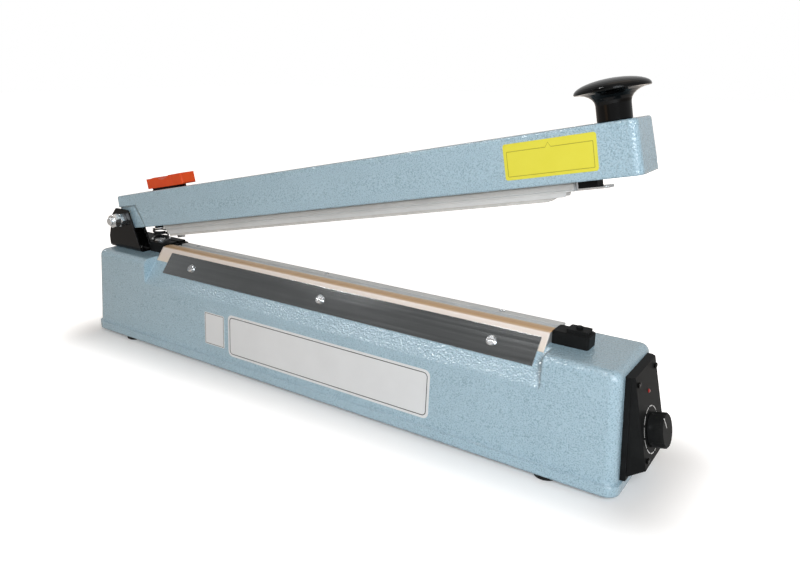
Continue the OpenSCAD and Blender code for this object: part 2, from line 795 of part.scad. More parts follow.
// Steel strap that holds the core down, with a foot on each side
module transformer_clamp() {
  w = core_l / 2;
  top = boss_z + core_h;
  color(steel) on_bench() difference() {
    along_y(core_y - 10, core_y + 10) translate([core_x, 0]) polygon([[-w - 13, boss_z], [-w, boss_z],
      [-w, top], [w, top], [w, boss_z], [w + 13, boss_z], [w + 13, boss_z + clamp_t],
      [w + clamp_t, boss_z + clamp_t], [w + clamp_t, top + clamp_t], [-w - clamp_t, top + clamp_t],
      [-w - clamp_t, boss_z + clamp_t], [-w - 13, boss_z + clamp_t]]);
    for (x = core_screws) translate([x, core_y, boss_z - cut])
      cylinder(d = screw_d + screw_gap, h = clamp_t + 2 * cut);
  }
}

// Screws and nuts of the transformer strap
module transformer_screws() {
  color(steel) on_bench() for (x = core_screws) translate([x, core_y, plate_z]) {
    pan_screw(screw_head - 1, 2, screw_d, 9);
    translate([0, 0, plate_t + clamp_t]) difference() {
      hex_body(7, 3.2);
      translate([0, 0, -cut]) cylinder(d = screw_d + screw_gap, h = 6);
    }
  }
}

// Rubber grommet with a flange on each side of the wall
module cord_grommet() {
  color(rubber) on_bench() translate([grommet_x, 0, grommet_z]) difference() {
    union() {
      rod_y(grommet_r + 2.5, pad_y, half_w);
      rod_y(grommet_r - 0.02, pad_y - pad_depth - 0.1, half_w);
      rod_y(grommet_r + 1.5, pad_y - pad_depth - 2, pad_y - pad_depth);
    }
    rod_y(cord_r, 0, base_w);
  }
}

// Three-way terminal block for the mains lead
module mains_terminal_block() {
  color("#E6E4DC") on_bench() translate([mains_x, mains_y, boss_z]) difference() {
    union() {
      block([0, 0, 0], [30, 16, 6]);
      for (i = [0:2]) translate([5 + i * 10, 8, 6]) cylinder(d1 = 8, d2 = 7, h = 8);
    }
    for (i = [0:2]) translate([5 + i * 10, 8, 4]) cylinder(d = 4.2, h = 12);
    for (i = [0:2]) translate([5 + i * 10, -cut, 3]) rotate([-90, 0, 0]) cylinder(d = 3.6, h = 18);
  }
}

// Alloy bar whose front carries on the bevel and whose crest carries the ribbon
module sealing_ridge() {
  color("#55585A") on_bench() along_x(ridge_x0, ridge_x1) {
    polygon(concat([[bevel_y(base_top), base_top]], crest_arc(crest_r),
      [[crest_y1, ridge_top], [crest_y1, base_top]]));
  }
}

// Insulating tape along the crest
module ridge_tape() {
  color("#B98A5A") on_bench() block([ridge_x0, jaw_y - tape_w / 2, ridge_top],
    [ridge_x1, jaw_y + tape_w / 2, tape_top]);
}

// Heating ribbon over the crest, bent down to a terminal at each end
module heating_ribbon() {
  color(steel) on_bench() along_y(jaw_y - ribbon_w / 2, jaw_y + ribbon_w / 2) difference() {
    translate([ridge_x0 - 0.5, ribbon_top - ribbon_drop])
      square([ridge_x1 - ridge_x0 + 1, ribbon_drop]);
    translate([ridge_x0 - 0.5 + ribbon_t, ribbon_top - ribbon_drop - cut])
      square([ridge_x1 - ridge_x0 + 1 - 2 * ribbon_t, ribbon_drop - ribbon_t + cut]);
  }
}

// Brass terminals that clamp the ends of the ribbon
module ribbon_terminals() {
  color(brass) on_bench() for (s = [-1, 1]) {
    x0 = s < 0 ? ridge_x0 - 0.5 - terminal_l : ridge_x1 + 0.5;
    difference() {
      block([x0, jaw_y - terminal_w / 2, base_top], [x0 + terminal_l, jaw_y + terminal_w / 2,
        base_top + terminal_h]);
      translate([x0 + terminal_l / 2, jaw_y, base_top + 1]) cylinder(d = 2.1, h = terminal_h);
    }
    translate([x0 + terminal_l / 2, jaw_y, base_top + 1.02]) cylinder(d = 2.08, h = terminal_h - 0.6);
  }
}

// Coated cloth from under the clamp strip, over the crest and down its back
module ptfe_cloth() {
  t = cloth_t;
  tape_y0 = jaw_y - tape_w / 2;
  tape_y1 = jaw_y + tape_w / 2;
  outer = crest_arc(crest_r + t);
  color("#D9C3A0") on_bench() translate([0, 0, 0.02]) along_x(max(recess_x0, ridge_x0) + 0.2, ridge_x1 - 0.2) polygon(concat(
    [[bevel_y(cloth_low), cloth_low]], crest_arc(crest_r), [[tape_y0, ridge_top], [tape_y0, ribbon_top],
    [tape_y1, ribbon_top], [crest_y1, ridge_top], [crest_y1, cloth_back], [crest_y1 + t, cloth_back],
    [crest_y1 + t, ridge_top + t], [tape_y1, cloth_top], [tape_y0, cloth_top]],
    [for (i = [4:-1:0]) outer[i]], [[lifted_y(cloth_low, t), cloth_low]]));
}

// Polished strip that clamps the cloth to the bevel
module clamp_strip() {
  color(dull_steel) on_bench() difference() {
    translate([(strip_x0 + strip_x1) / 2, bevel_y(strip_mid), strip_mid]) rotate([bevel_angle, 0, 0])
      translate([0, 0, strip_lift]) linear_extrude(strip_t) round_rect(strip_len, strip_w, 0.4);
    at_clamp_screws() translate([0, 0, -cut]) cylinder(d = screw_d + screw_gap, h = 6);
  }
}

// Screws of the clamp strip
module clamp_screws() {
  color(steel) on_bench() at_clamp_screws() translate([0, 0, strip_lift + strip_t])
    rotate([180, 0, 0]) pan_screw(screw_head, 2, screw_d, 12);
}

// Rail with the groove that the blade runs in
module cutter_rail() {
  color(alloy) on_bench() difference() {
    along_x(rail_x0, rail_x1) polygon([[rail_y0, base_top], [rail_y0, rail_top - 1.6],
      [rail_y0 + 0.8, rail_top - 0.8], [slot_y - groove_w / 2, rail_top - 0.8],
      [slot_y - groove_w / 2, rail_top - groove_d], [slot_y + groove_w / 2, rail_top - groove_d],
      [slot_y + groove_w / 2, rail_top], [rail_y1 - 0.8, rail_top], [rail_y1, rail_top - 0.8],
      [rail_y1, base_top]]);
    for (x = rail_places) translate([x, rail_screw_y, base_top - cut]) {
      cylinder(d = rail_screw_d + screw_gap, h = rail_h + 2 * cut);
      translate([0, 0, cut + rail_h - 1.2]) cylinder(d = 5.6, h = 4);
    }
  }
}

// Screws of the cutter rail
module rail_screws() {
  color(steel) on_bench() for (x = rail_places) translate([x, rail_screw_y, rail_top - 1.2])
    rotate([180, 0, 0]) pan_screw(5.4, 1.4, rail_screw_d, 11);
}

// Moulded block beside the hinge: covers a terminal and carries the return spring
module end_block() {
  color(black) on_bench() difference() {
    union() {
      block([end_x0, end_y0, base_top], [ridge_x0, end_y1, end_top]);
      block([hinge_x + 25.5, end_front, base_top], [ridge_x0, end_y0 + 1, end_top]);
      block([ridge_x0 - 1, rail_y0, base_top], [end_x1, end_y1, rail_top + 0.8]);
    }
    block([ridge_x0 - 10, end_front + block_wall, base_top - cut],
      [ridge_x0 + cut, jaw_y + terminal_w / 2 + 7, ribbon_top + 0.3]);
    block([hinge_x + blade_x0 - 5, slot_y - groove_w / 2, rail_top - groove_d], [end_x1 + cut,
      slot_y + groove_w / 2, end_top + cut]);
  }
}

// Black switch block with its raised pad
module switch_housing() {
  l = block_x1 - block_x0;
  color(black) on_bench() translate([block_x0, block_y0, base_top]) difference() {
    union() {
      linear_extrude(block_h - 0.7) translate([l / 2, block_d / 2]) round_rect(l, block_d, 2);
      translate([0, 0, block_h - 0.7]) linear_extrude(0.7) translate([l / 2, block_d / 2])
        round_rect(l - 1.2, block_d - 1.2, 1.6);
      translate([plunger_x - block_x0, block_d / 2, 0]) linear_extrude(block_h + pad_h)
        round_rect(16, 12, 1.5);
    }
    difference() {
      block([-cut, block_wall, -cut], [l - block_wall - 0.6, block_d - block_wall,
        block_h - block_wall - 0.6]);
      block([8, 0, -cut], [9.4, jaw_y - block_y0 + terminal_w / 2 + 0.2, block_h]);
    }
    block([-cut, block_wall, -cut], [1, block_d - block_wall, ribbon_top + 0.3 - base_top]);
    translate([plunger_x - block_x0, block_d / 2, 0]) {
      translate([-5, -4, -cut]) cube([10, 8, block_h + pad_h - block_wall + cut]);
      cylinder(d = plunger_d + 4 * run_gap, h = block_h + pad_h + cut);
    }
  }
}

// Micro switch let through the base top under the plunger
module micro_switch() {
  color("#33363A") on_bench() {
    block([plunger_x - micro_l / 2, plunger_y - micro_w / 2, base_top - 8],
      [plunger_x + micro_l / 2, plunger_y + micro_w / 2, micro_top]);
    block([plunger_x - 1.5, plunger_y - 1.5, micro_top - 0.1],
      [plunger_x + 1.5, plunger_y + 1.5, button_top]);
    for (x = [-7, 0, 7]) block([plunger_x + x - 0.4, plunger_y - 2, base_top - 13],
      [plunger_x + x + 0.4, plunger_y + 2, base_top - 7.9]);
  }
}

// Plunger with the collar that keeps it in the switch block
module switch_plunger() {
  ceiling = pad_top - block_wall;
  color(black) on_bench() translate([plunger_x, plunger_y, 0]) {
    translate([0, 0, plunger_low]) cylinder(d = plunger_d, h = plunger_top - 0.6 - plunger_low);
    translate([0, 0, plunger_top - 0.6]) cylinder(d1 = plunger_d, d2 = plunger_d - 1.2, h = 0.6);
    translate([0, 0, ceiling - 1.5]) cylinder(d = plunger_d + 2, h = 1.2);
  }
}

// Folded outline of the bracket in Y and Z, shrunk by t
module folded_outline(t) {
  r = bracket_r - t;
  z0 = base_top + t;
  translate([ear_y0 + t, z0 + r]) square([bracket_w - 2 * t, hinge_h + 30]);
  translate([ear_y0 + t + r, z0]) square([bracket_w - 2 * (t + r), r + 1]);
  for (y = [ear_y0 + bracket_r, ear_y1 - bracket_r]) translate([y, base_top + bracket_r]) circle(r);
}

// Steel bracket folded from one plate: two ears on a foot
module hinge_bracket() {
  color(black) on_bench() difference() {
    intersection() {
      along_x(hinge_x - 30, hinge_x + 30) difference() {
        folded_outline(0);
        folded_outline(bracket_t);
      }
      translate([hinge_x, 0, hinge_z]) along_y(ear_y0 - cut, ear_y1 + cut) polygon([[-27.5, -hinge_h],
        [24, -hinge_h], [24, 4 - hinge_h], [9, ear_top - 1], [7.5, ear_top], [-11.5, ear_top],
        [-18.5, ear_top - 7], [-27.5, 12 - hinge_h]]);
    }
    translate([hinge_x, 0, hinge_z]) rod_y(bolt_d / 2 + run_gap, ear_y0 - cut, ear_y1 + cut);
    for (x = bracket_x) translate([x, bracket_y, base_top - cut])
      cylinder(d = bracket_screw_d + screw_gap, h = bracket_t + 2 * cut);
  }
}

// Screws that hold the bracket's foot
module bracket_screws() {
  color(steel) on_bench() for (x = bracket_x) translate([x, bracket_y, base_top + bracket_t])
    rotate([180, 0, 0]) pan_screw(6.8, 3, bracket_screw_d, 12);
}

// Hinge bolt with its head behind the back ear
module hinge_bolt() {
  color(steel) on_bench() translate([hinge_x, 0, hinge_z]) {
    rod_y(bolt_d / 2, ear_y0 - bolt_end + 0.8, ear_y1 + 0.1);
    translate([0, ear_y0 - bolt_end + 0.8, 0]) rotate([90, 0, 0])
      cylinder(d1 = bolt_d, d2 = bolt_d - 1.6, h = 0.8);
    translate([0, ear_y1 + 5.3, 0]) rotate([90, 0, 0]) hex_body(nut_flats, 5.3);
  }
}

// Pair of nuts locked against each other on the front ear
module hinge_nuts() {
  color(steel) on_bench() for (i = [0, 1])
    translate([hinge_x, ear_y0 - i * (nut_h + 0.3), hinge_z]) rotate([90, 0, 0]) difference() {
      rotate(i * 20) hex_body(nut_flats, nut_h);
      translate([0, 0, -cut]) cylinder(d = bolt_d + screw_gap, h = nut_h + 2 * cut);
    }
}

// Dished washer that the spring stands on
module spring_seat() {
  color(steel) on_bench() translate([spring_x, spring_y, end_top]) cylinder(r = seat_r, h = seat_t);
}

// Return spring that lifts the arm
module return_spring() {
  color("#3A3A3A") on_bench() translate([spring_x, spring_y, spring_z0])
    coil(spring_r, wire_d, spring_z1 - spring_z0, 3);
}

// Rubber pad and steel washer between the spring and the arm
module spring_pad() {
  color(rubber) on_arm() translate([pad_x, spring_y, arm_low - pad_h_arm])
    cylinder(r = pad_r, h = pad_h_arm);
}

module spring_washer() {
  color(steel) on_arm() translate([pad_x, spring_y, washer_low]) cylinder(r = washer_r, h = washer_t);
}

// Tapered outside of the arm with round corners and a soft upper edge
module arm_body() {
  hull() for (y = [-1, 1], end = [0, 1]) {
    r = end > 0 ? arm_r : 3;
    x_low = end > 0 ? arm_x1 - r : r - arm_tail;
    lean = end > 0 ? arm_lean : -arm_lean / 2;
    translate([x_low, y * (arm_y - r), arm_low]) cylinder(r = r, h = 0.01, $fn = 32);
    translate([x_low - lean, y * (arm_y - arm_lean - r), arm_high]) soft_corner(r, 2);
  }
}

// Hollow in the front of the arm that clears the bracket's ear, blended with a slanted round
module ear_notch() {
  intersection() {
    block([-60, -60, arm_low - 20], [90, lug_y0, notch_top]);
    union() {
      along_y(-60, lug_y0 + cut) polygon([[-60, arm_low - 20], [notch_x + 20 * tan(notch_lean), arm_low - 20],
        [notch_x - (notch_top - arm_low) * tan(notch_lean), notch_top + cut], [-60, notch_top + cut]]);
      translate([notch_x, lug_y0 - notch_r, arm_low]) rotate([0, -notch_lean, 0]) translate([0, 0, -30])
        cylinder(r = notch_r, h = 90, $fn = 96);
    }
  }
}

// Cast arm: an open channel with a hinge lug, a slot for the cutter and bosses inside
module arm_casting() {
  inner_low = arm_y - arm_wall;
  inner_high = arm_y - arm_wall - arm_draft * (web_z - arm_low);
  color(paint) on_arm() difference() {
    union() {
      difference() {
        arm_body();
        along_x(-arm_tail + arm_wall, arm_x1 - arm_wall - arm_lean) polygon([[-inner_low, arm_low - cut],
          [inner_low, arm_low - cut], [inner_high, web_z], [-inner_high, web_z]]);
        block([-60, -inner_high, arm_low - cut], [0, inner_high, notch_top]);
      }
      // Lug between the ears of the bracket
      rod_y(arm_drop, lug_y0, lug_y1);
      block([0, lug_y0, arm_low], [lug_x1, lug_y1, web_z + 1]);
      block([1 - arm_tail, lug_y0, 0], [1, lug_y1, web_z + 1]);
      // Bosses of the spring pad, the pressure bar and the handle
      translate([pad_x, spring_y, arm_low]) cylinder(r = pad_r + 1.5, h = 22);
      block([pad_x - 6, lug_y0 + 1, arm_low], [pad_x + 6, spring_y, arm_low + 22]);
      for (x = bar_places) {
        translate([x, jaw_y, bar_top]) cylinder(r = 4.5, h = web_z - bar_top + 1);
        block([x - 1.2, -arm_y + 2.2, bar_top + 2], [x + 1.2, jaw_y, web_z + 1]);
      }
      translate([stem_x, 0, boss_low]) cylinder(r = 8, h = web_z - boss_low + 1);
      block([stem_x - 1.5, -arm_y + 2.2, 0], [stem_x + 1.5, arm_y - 2.2, web_z + 1]);
    }
    ear_notch();
    rod_y(bush_r, -60, 60);
    block([slot_x0, slot_y - slot_w / 2, web_z - cut], [slot_x1, slot_y + slot_w / 2, arm_high + cut]);
    for (x = bar_places) translate([x, jaw_y, bar_top - cut]) {
      cylinder(d = bar_screw_d + screw_gap, h = 14);
    }
    translate([stem_x, 0, boss_low - cut]) cylinder(d = handle_bolt_d + screw_gap, h = arm_h + 20);
  }
}

// Flanged brass bush in the arm's lug
module hinge_bush() {
  color(brass) on_arm() difference() {
    union() {
      rod_y(bush_r, ear_y0 + bracket_t + 0.3, lug_y1 + 0.05);
      rod_y(bush_flange, ear_y0 + bracket_t + 0.3, lug_y0);
    }
    rod_y(bolt_d / 2 + run_gap, -60, 60);
  }
}

// Alloy pressure bar under the arm, its ends cut back at a slant
module pressure_bar() {
  color(alloy) on_arm() difference() {
    along_y(jaw_y - bar_d / 2, jaw_y + bar_d / 2) polygon([[bar_x0, bar_top], [bar_x0 + 9, carrier_top],
      [bar_x1, carrier_top], [bar_x1, bar_top]]);
    for (x = bar_places) translate([x, jaw_y, carrier_top - cut]) {
      cylinder(d = bar_screw_d + screw_gap, h = 20);
      cylinder(d = bar_head_d + 0.4, h = bar_head_h + 0.4 + cut);
    }
    along_x(bar_x0 - cut, bar_x1 + cut) {
      translate([jaw_y - bar_d / 2, carrier_top + 1.6]) circle(0.5, $fn = 24);
      translate([jaw_y - bar_d / 2, carrier_top + 6]) circle(0.5, $fn = 24);
    }
  }
}

// Screws that hold the pressure bar, sunk in its underside
module bar_screws() {
  color(steel) on_arm() for (x = bar_places) translate([x, jaw_y, carrier_top + bar_head_h + 0.4])
    pan_screw(bar_head_d, bar_head_h, bar_screw_d, 20);
}

// Channel that grips the rubber strip
module rubber_carrier() {
  w = bar_d - 1.6;
  color(alloy) on_arm() difference() {
    along_y(jaw_y - w / 2, jaw_y + w / 2) polygon([[carrier_x0, carrier_top], [carrier_x0 + 1, carrier_low],
      [carrier_x1 - 1, carrier_low], [carrier_x1, carrier_top]]);
    block([carrier_x0 - 10, jaw_y - rubber_w / 2, carrier_low - cut], [carrier_x1 + 10,
      jaw_y + rubber_w / 2, carrier_low + rubber_seat]);
  }
}

// Silicone rubber strip that presses the bag on the ribbon
module rubber_strip() {
  color("#D9D6CF") on_arm() along_y(jaw_y - rubber_w / 2, jaw_y + rubber_w / 2)
    polygon([[rubber_x0, carrier_low + rubber_seat], [rubber_x0, jaw_low], [rubber_x1 - 4, jaw_low],
      [rubber_x1, jaw_low + 1.6], [rubber_x1, carrier_low + rubber_seat]]);
}

// Folded steel plate that presses the switch plunger with its round-ended lower leg
module striker_plate() {
  x0 = striker_x0;
  x1 = stem_x + 9;
  t = striker_t;
  color(steel) on_arm() difference() {
    union() {
      along_y(striker_y0, striker_y1) polygon([[x0, striker_low], [x0 + striker_l - 8, striker_low],
        [x0 + striker_l - 8, striker_low + t], [x0 + t, striker_low + t], [x0 + t, boss_low - t],
        [x1, boss_low - t], [x1, boss_low], [x0, boss_low]]);
      translate([x0 + striker_l - 8, plunger_y, striker_low]) linear_extrude(t)
        slot_shape(20, striker_y1 - striker_y0);
    }
    translate([stem_x, 0, boss_low - 4]) cylinder(d = handle_bolt_d + screw_gap, h = 8);
  }
}

// Black block that stiffens the lower leg of the striker
module striker_block() {
  color(black) on_arm() block([striker_x0 + striker_t, striker_y0 + 0.4, striker_low + striker_t],
    [striker_x0 + striker_l - 7, striker_y1 - 0.4, arm_low + 2.5]);
}

// Turned knob: a straight stem flaring into a domed cap
module handle_knob() {
  s = stem_d / 2;
  c = cap_d / 2;
  rim = handle_h * 0.73;
  flare = handle_h * 0.4;
  under = [for (a = [0:15:90]) [s + (c - s - 0.4) * (1 - cos(a)), flare + (rim - 0.6 - flare) * sin(a)]];
  dome = [for (a = [0:10:80]) [c * cos(a), rim + (handle_h - rim) * sin(a)]];
  color(black) on_arm() translate([stem_x, 0, arm_high]) difference() {
    rotate_extrude($fn = 96) polygon(concat([[0, 0], [s - 0.5, 0], [s, 0.5]], under, dome,
      [[0, handle_h]]));
    translate([0, 0, -cut]) cylinder(d = handle_bolt_d + screw_gap, h = handle_h / 2 + 6 + cut);
  }
}

// Bolt that runs up through the arm into the knob
module handle_bolt() {
  color(steel) on_arm() translate([stem_x, 0, boss_low - striker_t - 4]) {
    hex_body(handle_bolt_d + 4, 4);
    translate([0, 0, 3.9]) cylinder(d = handle_bolt_d, h = arm_high - boss_low + striker_t + handle_h * 0.5 + 5);
  }
}

// Slider knob with a finger saddle and an arrow-shaped nose
module cutter_knob() {
  l = cutter_len;
  side = [[0.004, 0], [0, 1.1], [0.015, 10.5], [0.1, 10.1], [0.18, 10.6], [0.26, 11], [0.33, 10.7],
    [0.39, 8.8], [0.45, 7.9], [0.51, 7.9], [0.58, 8.9], [0.66, 11.2], [0.985, 11.4], [1, 1.5], [0.975, 0]];
  color("#DB4B2A") on_arm() translate([cutter_x0, slot_y, cutter_z]) difference() {
    intersection() {
      along_y(-cutter_w / 2, cutter_w / 2) polygon([for (p = side) [p[0] * l, p[1]]]);
      translate([l / 2, 0, -cut]) linear_extrude(20) round_rect(l, cutter_w, 2.5);
    }
    // Seam between the finger grip and the nose
    for (s = [-1, 1]) block([0.71 * l, s * cutter_w / 2 - 0.5, 1.2],
      [0.71 * l + 0.8, s * cutter_w / 2 + 0.5, 20]);
    block([0.71 * l, -cutter_w, 10], [0.71 * l + 0.8, cutter_w, 20]);
  }
}

// Shoe that runs on the arm, with its neck in the slot and its foot under the web
module cutter_shoe() {
  color(black) on_arm() {
    block([cutter_x0 + 7, slot_y - cutter_w / 2 + 1.5, arm_high + slide_gap],
      [cutter_x0 + cutter_len - 15.5, slot_y + cutter_w / 2 - 1.5, cutter_z]);
    block([shoe_x0, slot_y - slot_w / 2 + slide_gap, web_z - slide_gap - 0.1],
      [shoe_x1, slot_y + slot_w / 2 - slide_gap, arm_high + slide_gap + 0.1]);
    block([shoe_x0, slot_y - slot_w / 2 - 2.5, web_z - slide_gap - foot_t],
      [shoe_x1, slot_y + slot_w / 2 + 2.5, web_z - slide_gap]);
  }
}

// Holder that reaches down through the arm and grips the blade
module blade_holder() {
  top = web_z - slide_gap - foot_t;
  color(dull_steel) on_arm() difference() {
    along_y(slot_y - holder_t / 2, slot_y + holder_t / 2) polygon([[blade_x0 - 1, top], [blade_x0 + blade_len + 1, top],
      [blade_x0 + blade_len + 1, holder_low], [blade_x0 - 1, holder_low]]);
    block([blade_x0 - 2, slot_y - blade_t / 2 - 0.03, holder_low - cut], [blade_x0 + blade_len + 2,
      slot_y + blade_t / 2 + 0.03, holder_low + 9]);
  }
}

// Trapezium blade with a slanted edge at each end
module cutter_blade() {
  color(steel) on_arm() along_y(slot_y - blade_t / 2, slot_y + blade_t / 2)
    polygon([[blade_x0, holder_low + 8.9], [blade_x0 + blade_len, holder_low + 8.9],
      [blade_x0 + blade_len * 0.8, blade_low], [blade_x0 + blade_len * 0.2, blade_low]]);
}

base_housing();
floor_plate();
floor_plate_screws();
rubber_feet();
foot_screws();
control_panel();
panel_screws();
indicator_lamp();
dial_potentiometer();
dial_nut();
timer_board();
board_parts();
board_standoffs();
transformer_core();
transformer_coil();
transformer_clamp();
transformer_screws();
cord_grommet();
mains_terminal_block();
sealing_ridge();
ridge_tape();
heating_ribbon();
ribbon_terminals();
ptfe_cloth();
clamp_strip();
clamp_screws();
cutter_rail();
rail_screws();
end_block();
switch_housing();
micro_switch();
hinge_bracket();
bracket_screws();
hinge_bolt();
hinge_nuts();
spring_seat();
return_spring();
switch_plunger();
timer_knob();
timer_shaft();
arm_casting();
hinge_bush();
spring_pad();
spring_washer();
pressure_bar();
bar_screws();
rubber_carrier();
rubber_strip();
striker_plate();
striker_block();
handle_knob();
handle_bolt();
cutter_knob();
cutter_shoe();
blade_holder();
cutter_blade();
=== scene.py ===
"""Looks of a hand impulse bag sealer.

Hammered enamel castings, a cloth-covered sealing ridge with a polished clamp strip, and a cutter on the arm.
"""
import json
import math

import bpy
import numpy as np
from mathutils import Matrix, Vector


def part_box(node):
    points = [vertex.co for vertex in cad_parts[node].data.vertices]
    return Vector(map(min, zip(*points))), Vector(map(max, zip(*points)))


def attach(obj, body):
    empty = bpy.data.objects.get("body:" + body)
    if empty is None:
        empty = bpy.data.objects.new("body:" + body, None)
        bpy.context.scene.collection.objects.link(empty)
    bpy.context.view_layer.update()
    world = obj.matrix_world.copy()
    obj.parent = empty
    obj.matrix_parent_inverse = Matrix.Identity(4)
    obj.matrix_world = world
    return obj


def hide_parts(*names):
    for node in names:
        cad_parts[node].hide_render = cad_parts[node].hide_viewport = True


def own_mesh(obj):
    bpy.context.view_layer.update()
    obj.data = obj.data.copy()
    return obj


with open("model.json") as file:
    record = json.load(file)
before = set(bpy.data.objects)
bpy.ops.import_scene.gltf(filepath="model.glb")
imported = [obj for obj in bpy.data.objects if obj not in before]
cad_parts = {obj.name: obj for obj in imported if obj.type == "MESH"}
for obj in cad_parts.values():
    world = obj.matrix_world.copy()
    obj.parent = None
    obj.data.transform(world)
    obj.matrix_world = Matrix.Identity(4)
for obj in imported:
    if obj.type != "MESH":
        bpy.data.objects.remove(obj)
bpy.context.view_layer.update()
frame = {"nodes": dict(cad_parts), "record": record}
joints = {j["name"]: j for j in frame["record"]["behaviour"]["joints"]}

MM = 0.001
# The base casting's middle, the arm's pivot and tilt, and the dial's axis, as the frame has them
BASE_X = (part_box("base_housing")[0].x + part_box("base_housing")[1].x) / 2
PIVOT = np.array(joints["arm_hinge"]["pos_m"])
SLIDE = joints["cutter_slide"]["axis"]
ARM_TILT = math.atan2(SLIDE[2], SLIDE[0])
DIAL = np.array(joints["timer_dial_turn"]["pos_m"])
DIAL_TILT = math.atan2(joints["timer_dial_turn"]["axis"][2], joints["timer_dial_turn"]["axis"][0])
# Outer measures of the castings, in mm
HALF_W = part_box("base_housing")[1].y / MM
BASE_TOP, SKIRT_TOP, LEDGE, DRAFT = 93.3, 12.3, 2.0, 0.065
ARM_HALF, ARM_LOW, ARM_DRAFT = 20.1, -11.0, 0.04
RIDGE_FRONT, RIDGE_H, BEVEL = 11.05, 8.4, math.radians(51.3)
# The ridge's depth, the radii of its front and back bends, and the middle of the jaw behind its front
RIDGE_DEPTH, FRONT_BEND, BACK_BEND, JAW = 12.0, 1.2, 0.6, 6.0
# Cloth: how far it reaches below the ridge's top and stays above the base, its lift, thickness and ripple
CLOTH_DROP, CLOTH_END, CLOTH_LIFT, CLOTH_THICK, RIPPLE = 12.2, 3.0, 0.1, 0.2, 0.12
# Dial knob: its face above the panel, its radius and the angle at which it stands
DIAL_FACE, DIAL_R, DIAL_SET = 11.1, 12.6, math.radians(24)
# Pointer line on the knob: its gap from the rim, its inner end from the middle, and half its width
POINTER_GAP, POINTER_END, POINTER_HALF = 0.8, 2.5, 0.55
# Broken ring round the dial: its radii, its number of arcs and half the angle of each
RING_OUT, RING_IN, RING_ARCS, RING_HALF = 17.1, 16.3, 12, 12.0
# Labels as x0, x1, y0, y1: on the base's front from its middle and the floor, on the arm's front from its pivot
LARGE_LABEL = (-85.2, 140.8, 18.5, 59.5)
SMALL_LABEL = (-117.9, -90.6, 23.8, 56.2)
ARM_LABEL = (454, 521, -5, 20)
# Film and ink: lowest side and top of a label, and the height of the ink over the wall
FILM_LOW, FILM_TOP, INK = -0.05, 0.12, 0.16
# Return spring: radius of its wire, its turns, its flat end turns, and the share of its height left when closed
WIRE, TURNS, FLAT_TURNS, SQUASHED = 0.9, 3.0, 0.6, 0.57


# Places

def on_base(x, y, z):
    """Point of the base, in mm from the middle of its footprint, as metres in the frame."""
    x, y, z = np.broadcast_arrays(x, y, z)
    return np.stack([BASE_X + x * MM, y * MM, z * MM], -1)


def on_arm(x, y, z):
    """Point of the arm, in mm from its pivot with x along it, turned up by the arm's tilt about Y."""
    x, y, z = np.broadcast_arrays(x, y, z)
    c, s = math.cos(ARM_TILT), math.sin(ARM_TILT)
    return np.stack([PIVOT[0] + (x * c - z * s) * MM, PIVOT[1] + y * MM, PIVOT[2] + (x * s + z * c) * MM], -1)


def on_dial(x, y, z):
    """Point of the dial face, in mm: z along the dial's axis, y across and x down the sloping face."""
    x, y, z = np.broadcast_arrays(x, y, z)
    c, s = math.cos(DIAL_TILT), math.sin(DIAL_TILT)
    return np.stack([DIAL[0] + (z * c + x * s) * MM, DIAL[1] + y * MM, DIAL[2] + (z * s - x * c) * MM], -1)


# Surfaces

def surface(name, points, material, body, closed=False):
    """Quads between neighbours of a rows x columns array of points; closed joins the last column to the first."""
    rows, cols = points.shape[:2]
    r = np.arange(rows - 1)[:, None]
    c = np.arange(cols if closed else cols - 1)[None, :]
    r1, c1 = r + 1, (c + 1) % cols
    faces = np.stack([r * cols + c, r1 * cols + c, r1 * cols + c1, r * cols + c1], -1).reshape(-1, 4)
    return solid(name, points.reshape(-1, 3), faces, material, body)


def solid(name, points, faces, material, body, smooth=True):
    """Mesh of given points and faces, which rides on a body of the frame."""
    mesh = bpy.data.meshes.new(name)
    mesh.from_pydata([tuple(p) for p in points.tolist()], [], [list(f) for f in faces])
    mesh.polygons.foreach_set("use_smooth", np.full(len(mesh.polygons), smooth))
    mesh.materials.append(material)
    mesh.update()
    piece = bpy.data.objects.new(name, mesh)
    bpy.context.collection.objects.link(piece)
    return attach(piece, body)


def rounded_outline(x0, x1, y0, y1, r, steps=6):
    """Closed outline of a rectangle whose corners are quarter circles of radius r, anticlockwise."""
    a = np.linspace(0, math.pi / 2, steps)
    corners = [(x1 - r, y1 - r, 0), (x0 + r, y1 - r, 1), (x0 + r, y0 + r, 2), (x1 - r, y0 + r, 3)]
    return np.concatenate([
        np.stack([cx + r * np.cos(a + q * math.pi / 2), cy + r * np.sin(a + q * math.pi / 2)], -1)
        for cx, cy, q in corners])


def plate(name, outline, place, low, high, material, body):
    """Thin plate: the outline at height low, again at high, and a fan of faces over the top."""
    n = len(outline)
    rings = [place(outline[:, 0], outline[:, 1], h) for h in (low, high)]
    centre = place(outline[:, 0].mean(), outline[:, 1].mean(), high).reshape(1, 3)
    points = np.concatenate(rings + [centre])
    i = np.arange(n)
    j = (i + 1) % n
    sides = np.stack([i, j, n + j, n + i], -1).tolist()
    top = np.stack([n + i, n + j, np.full(n, 2 * n)], -1).tolist()
    return solid(name, points, sides + top, material, body, smooth=False)


def line_loop(name, outline, width, place, height, material, body):
    """Printed line along a closed outline: two copies of it, half the width in and out along its normals."""
    ahead, behind = np.roll(outline, -1, 0), np.roll(outline, 1, 0)
    along = ahead - behind
    normal = np.stack([along[:, 1], -along[:, 0]], -1) / np.linalg.norm(along, axis=1)[:, None]
    edges = [outline + normal * width / 2, outline - normal * width / 2]
    points = np.stack([place(e[:, 0], e[:, 1], height) for e in edges])
    return surface(name, points, material, body, closed=True)


